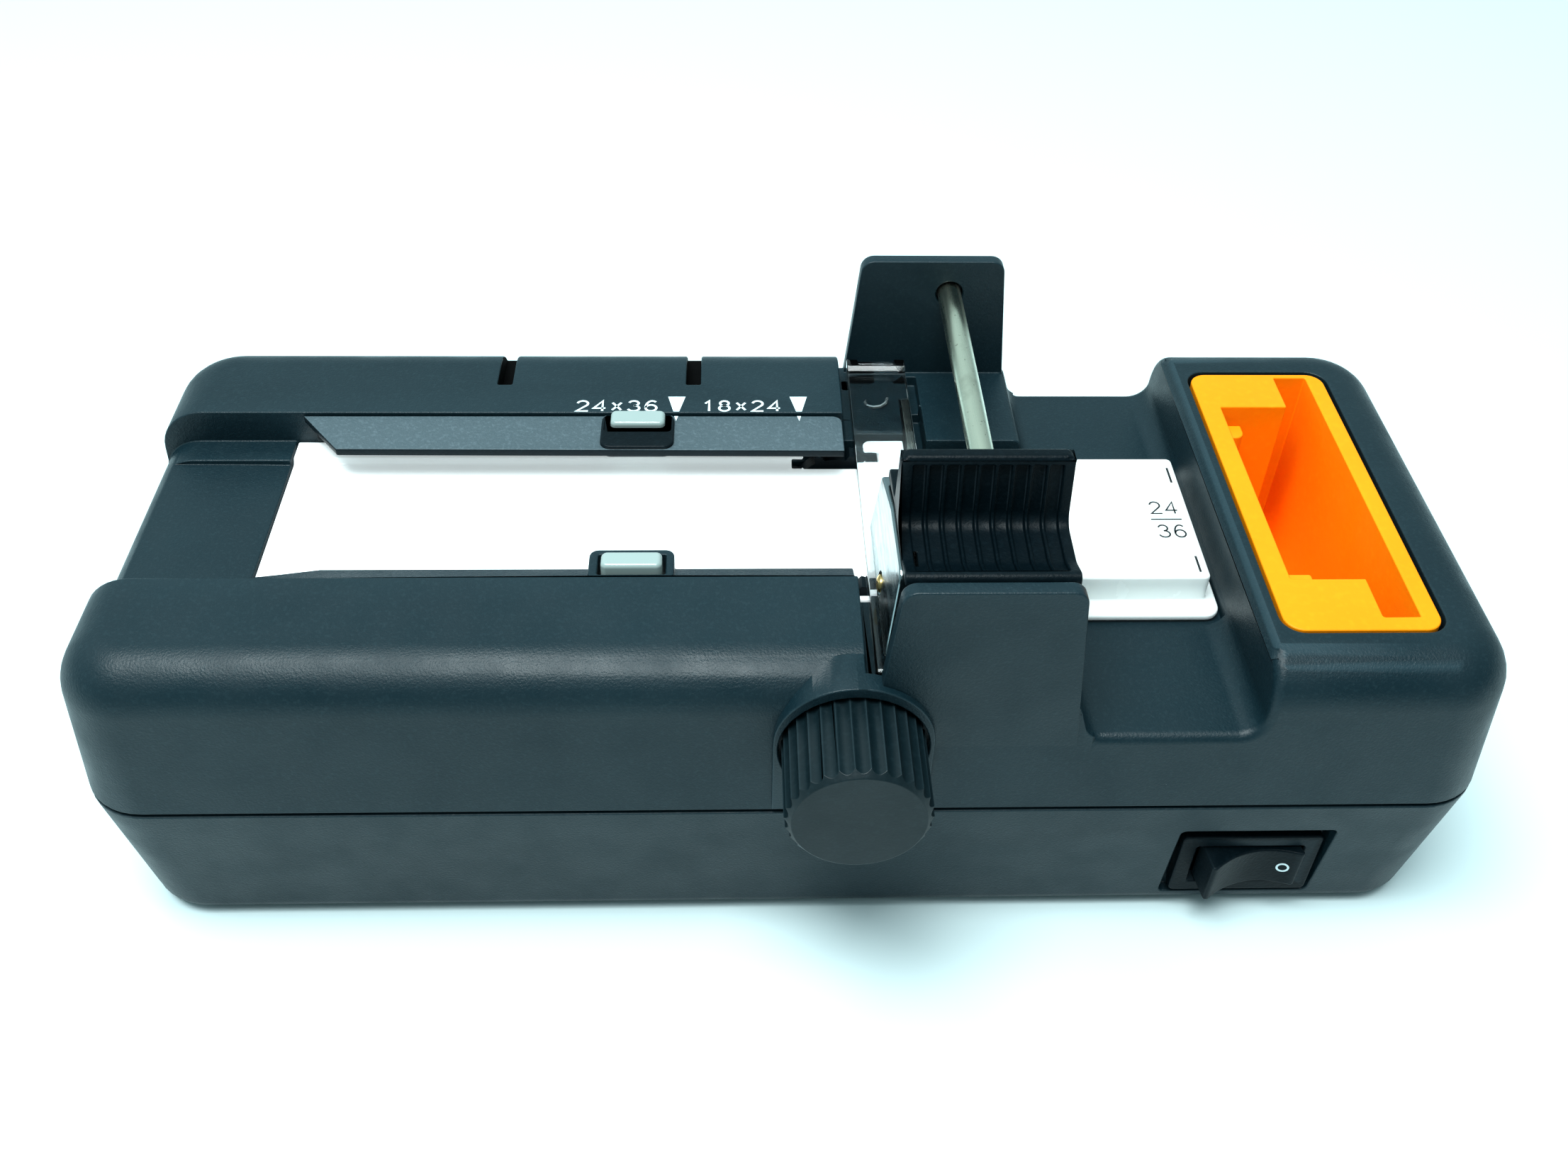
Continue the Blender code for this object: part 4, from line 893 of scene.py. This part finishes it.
GLYPHS = {                      # strokes in a box one wide and one high
    "1": [[(0.28, 0.74), (0.62, 1.0), (0.62, 0.0)]],
    "2": [bend((0.5, 0.72), (0.44, 0.28), 170, -35) + [(0.02, 0.0), (1.0, 0.0)]],
    "3": [bend((0.48, 0.76), (0.40, 0.24), 165, -90), bend((0.48, 0.27), (0.48, 0.27), 90, -165)],
    "4": [[(1.0, 0.28), (0.0, 0.28), (0.74, 1.0), (0.74, 0.0)]],
    "6": [bend((0.5, 0.3), (0.46, 0.3), 180, -180), bend((0.58, 0.34), (0.54, 0.66), 180, 55)],
    "8": [bend((0.5, 0.76), (0.38, 0.24), 0, 360), bend((0.5, 0.27), (0.46, 0.27), 0, 360)],
    "x": [[(0.12, 0.1), (0.88, 0.82)], [(0.12, 0.82), (0.88, 0.1)]],
}
INK_DEPTH = 0.05


def ribbon(shape, points, width, z):
    """A flat closed band along a line of points, mitred at its bends."""
    spots = [Vector(p) for p in points]
    rings = []
    for index, spot in enumerate(spots):
        before = (spot - spots[index - 1]).normalized() if index else None
        after = (spots[index + 1] - spot).normalized() if index + 1 < len(spots) else None
        along = ((before or after) + (after or before)).normalized()
        side = Vector((-along.y, along.x))
        reach = width / 2 / max(0.5, side.dot(Vector((-(after or before).y, (after or before).x))))
        ring = [spot + side * reach, spot - side * reach]
        rings.append([shape.verts.new((*ring[a], z + b)) for a, b in
                      ((0, 0), (1, 0), (1, INK_DEPTH), (0, INK_DEPTH))])
    for one, two in zip(rings, rings[1:]):
        for corner in range(4):
            after = (corner + 1) % 4
            shape.faces.new([one[corner], one[after], two[after], two[corner]])
    shape.faces.new(rings[0])
    shape.faces.new(rings[-1])


FIGURE_GAP = 0.42               # between the right of one figure and the left of the next


def figures(name, text, low, high, z, width, skin):
    """Printed figures in thin strokes that fill the rectangle from low to high."""
    pitch = (high[0] - low[0] + FIGURE_GAP) / len(text)
    inset = width / 2
    shape = bmesh.new()
    for index, figure in enumerate(text):
        left = low[0] + index * pitch + inset
        wide, tall = pitch - FIGURE_GAP - width, high[1] - low[1] - width
        for stroke in GLYPHS[figure]:
            ribbon(shape, [(left + a * wide, low[1] + inset + b * tall) for a, b in stroke], width, z)
    finish(park(name + "_tool", shape), name, "housing", [], skin, edge=0)


def printed_marks():
    rim, plate, block = TOP_Z - 0.01, 48.3 - 0.01, FILM_Z - 0.01
    for name, text, left, right, x in (("24x36", "24x36", -32.0, -19.8, -17.1),
                                       ("18x24", "18x24", -13.5, -1.6, 1.0)):
        figures("print_" + name, text, (left, 17.65), (right, 20.5), rim, 0.36, WHITE_INK)
        upper = [(x - 1.3, 21.4, 0), (x + 1.3, 21.4, 0), (x + 0.43, 17.7, 0), (x - 0.43, 17.7, 0)]
        tip = [(x - 0.3, 17.1, 0), (x + 0.3, 17.1, 0), (x, 15.9, 0)]
        for part, outline, level in (("arrow", upper, rim), ("arrow_tip", tip, plate)):
            finish(prism(part, outline, level, level + INK_DEPTH, axis="Z"),
                   f"print_{part}_{name}", "housing", [], WHITE_INK, edge=0)
    figures("print_24", "24", (50.8, 0.3), (54.9, 3.1), block, 0.24, DARK_INK)
    figures("print_36", "36", (51.0, -4.8), (55.1, -2.0), block, 0.24, DARK_INK)
    for name, spot in (("print_bar", (50.6, -0.95, 55.0, -0.72)),
                       ("print_tick_rear", (55.2, 7.4, 55.5, 10.8)),
                       ("print_tick_front", (55.0, -11.9, 55.3, -8.7))):
        finish(prism(name + "_tool", rectangle(*spot), block, block + INK_DEPTH, axis="Z"), name,
               "housing", [], DARK_INK, edge=0)


# ---------------------------------------------------------------- small and inner pieces

def soften_node(node, body, skin, edge=0.15, cutters=()):
    """A CAD solid again, with rounded edges and its own finish."""
    mesh = NODES[node].data.copy()
    mesh.transform(INTO_FRAME.inverted())
    shape = bmesh.new()
    shape.from_mesh(mesh)
    bmesh.ops.remove_doubles(shape, verts=shape.verts, dist=0.005)
    bmesh.ops.dissolve_limit(shape, angle_limit=math.radians(0.5), verts=shape.verts,
                             edges=shape.edges)
    thing = park(node + "_copy", shape)
    cut(thing, *cutters)
    finish(thing, node + "_finished", body, [node], skin, edge=edge)


def paint(node, skin):
    slots = NODES[node].data.materials
    if not slots:
        slots.append(skin)
    for index in range(len(slots)):
        slots[index] = skin


def small_pieces():
    soften_node("battery_door", "door", SHELL)
    for index, (x, y) in enumerate(SCREW_PLACES):
        cross = [box("cross", (x - 1.5, y - 0.3, 2), (x + 1.5, y + 0.3, 3.9)),
                 box("cross", (x - 0.3, y - 1.5, 2), (x + 0.3, y + 1.5, 3.9))]
        soften_node(f"screw_{index + 1}", "housing", SPRING, 0.12, cross)
    for index in range(4):
        soften_node(f"foot_{index + 1}", "housing", RUBBER, 0.2)
    for name in ("sprocket_front", "sprocket_rear"):
        soften_node(name, "feed", BLACK, 0.1)
    for name in ("feed_shaft", "contact_spring_1", "contact_spring_2", "contact_spring_3",
                 "strip_spring_front", "strip_spring_rear"):
        paint(name, SPRING)
    for name in ("contact_plate_left", "contact_plate_right", "switch_terminal_1",
                 "switch_terminal_2"):
        paint(name, BRASS)
    for name in ("lamp_1", "lamp_2"):
        paint(name, LAMP)
    for name in ("battery_1", "battery_2", "battery_3"):
        paint(name, CELL)
    for name in ("lamp_holder_1", "lamp_holder_2"):
        paint(name, BLACK)
    paint("reflector_tray", WHITE)


top_shell()
base_shell()
rear_guide()
light_panel()
stop_block()
mount_tray()
blade_and_rod()
pressure_strip()
film_pad("clear_pad_rear", "film_pad_rear", (-26.7, 13.5, 44.4), (-18.5, 17.1, 49.7), "pad_rear")
film_pad("clear_pad_front", "film_pad_front", (-26.2, -17.2, 44.4), (-17.9, -14.0, 49.7), "pad_front")
carriage()
guard_and_wheel()
feed_knob()
power_switch()
printed_marks()
small_pieces()


# ---------------------------------------------------------------- stage, light and camera

FLOOR_HALF, FLOOR_DROP = 3.0, 0.0002     # in metres, as the lights and the camera are


def stage_floor():
    """White paper, a hair under the feet."""
    mesh = bpy.data.meshes.new("floor")
    half = FLOOR_HALF
    mesh.from_pydata([(-half, -half, 0), (half, -half, 0), (half, half, 0), (-half, half, 0)], [],
                     [(0, 1, 2, 3)])
    floor = bpy.data.objects.new("floor", mesh)
    floor.location.z = -FLOOR_DROP
    bpy.context.scene.collection.objects.link(floor)
    skin, tree, shader = new_skin("floor_paper")
    place = add(tree, "ShaderNodeTexCoord").outputs["Object"]
    shade = mix(tree, noise(tree, place, 3.0), rgb(0.69, 0.82, 0.84), rgb(0.71, 0.835, 0.855))
    tree.links.new(shade, shader.inputs["Base Color"])
    shader.inputs["Roughness"].default_value = 0.7
    floor.data.materials.append(skin)


def soft_light(name, place, aim, size, power, colour):
    light = bpy.data.lights.new(name, "AREA")
    light.shape = "RECTANGLE"
    light.size, light.size_y = size
    light.energy = power
    light.color = colour
    lamp = bpy.data.objects.new(name, light)
    lamp.location = place
    lamp.rotation_euler = (Vector(aim) - Vector(place)).to_track_quat("-Z", "Y").to_euler()
    bpy.context.scene.collection.objects.link(lamp)


ROOM_DIM, ROOM_BRIGHT, LAMP_POWER = 0.03, 0.95, 11.0


def lights():
    """A wide lamp overhead in a pale room that is dimmer to the front and to the right."""
    world = bpy.data.worlds.new("studio")
    bpy.context.scene.world = world
    world.use_nodes = True
    tree = world.node_tree
    toward = add(tree, "ShaderNodeTexCoord").outputs["Generated"]
    lean = add(tree, "ShaderNodeVectorMath", {0: toward, 1: (-0.26, 0.34, 0.42)},
               operation="DOT_PRODUCT")
    level = spread(tree, lean.outputs["Value"], -0.45, 0.55, ROOM_DIM, ROOM_BRIGHT)
    sky = tree.nodes["Background"]
    sky.inputs["Color"].default_value = rgb(0.72, 0.96, 1.0)
    tree.links.new(level, sky.inputs["Strength"])
    soft_light("overhead", (-0.14, -0.15, 0.85), (-0.03, 0.0, 0.03), (0.60, 0.40), LAMP_POWER,
               (0.93, 1.0, 1.0))


CAMERA_YAW, CAMERA_PITCH, CAMERA_ROLL = (math.radians(turn) for turn in (2.608, 43.156, 1.575))
CAMERA_PLACE, CAMERA_LENS = (-0.00755, -0.15326, 0.17893), 33.905


def camera():
    """Looks down at the front, turned a little to the right and tilted a little."""
    yaw, pitch, roll = CAMERA_YAW, CAMERA_PITCH, CAMERA_ROLL
    ahead = Vector((math.sin(yaw) * math.cos(pitch), math.cos(yaw) * math.cos(pitch),
                    -math.sin(pitch)))
    level = Vector((math.cos(yaw), -math.sin(yaw), 0.0))
    upright = level.cross(ahead)
    right = math.cos(roll) * level + math.sin(roll) * upright
    above = -math.sin(roll) * level + math.cos(roll) * upright
    lens = bpy.data.cameras.new("photo_view")
    lens.sensor_width = 36.0
    lens.lens = CAMERA_LENS
    lens.clip_start = 0.005
    eye = bpy.data.objects.new("photo_view", lens)
    place = Matrix((right, above, -ahead)).transposed().to_4x4()
    place.translation = CAMERA_PLACE
    eye.matrix_world = place
    bpy.context.scene.collection.objects.link(eye)
    bpy.context.scene.camera = eye


stage_floor()
lights()
camera()
bpy.context.scene.view_settings.view_transform = "Standard"
bpy.context.scene.view_settings.gamma = 0.88
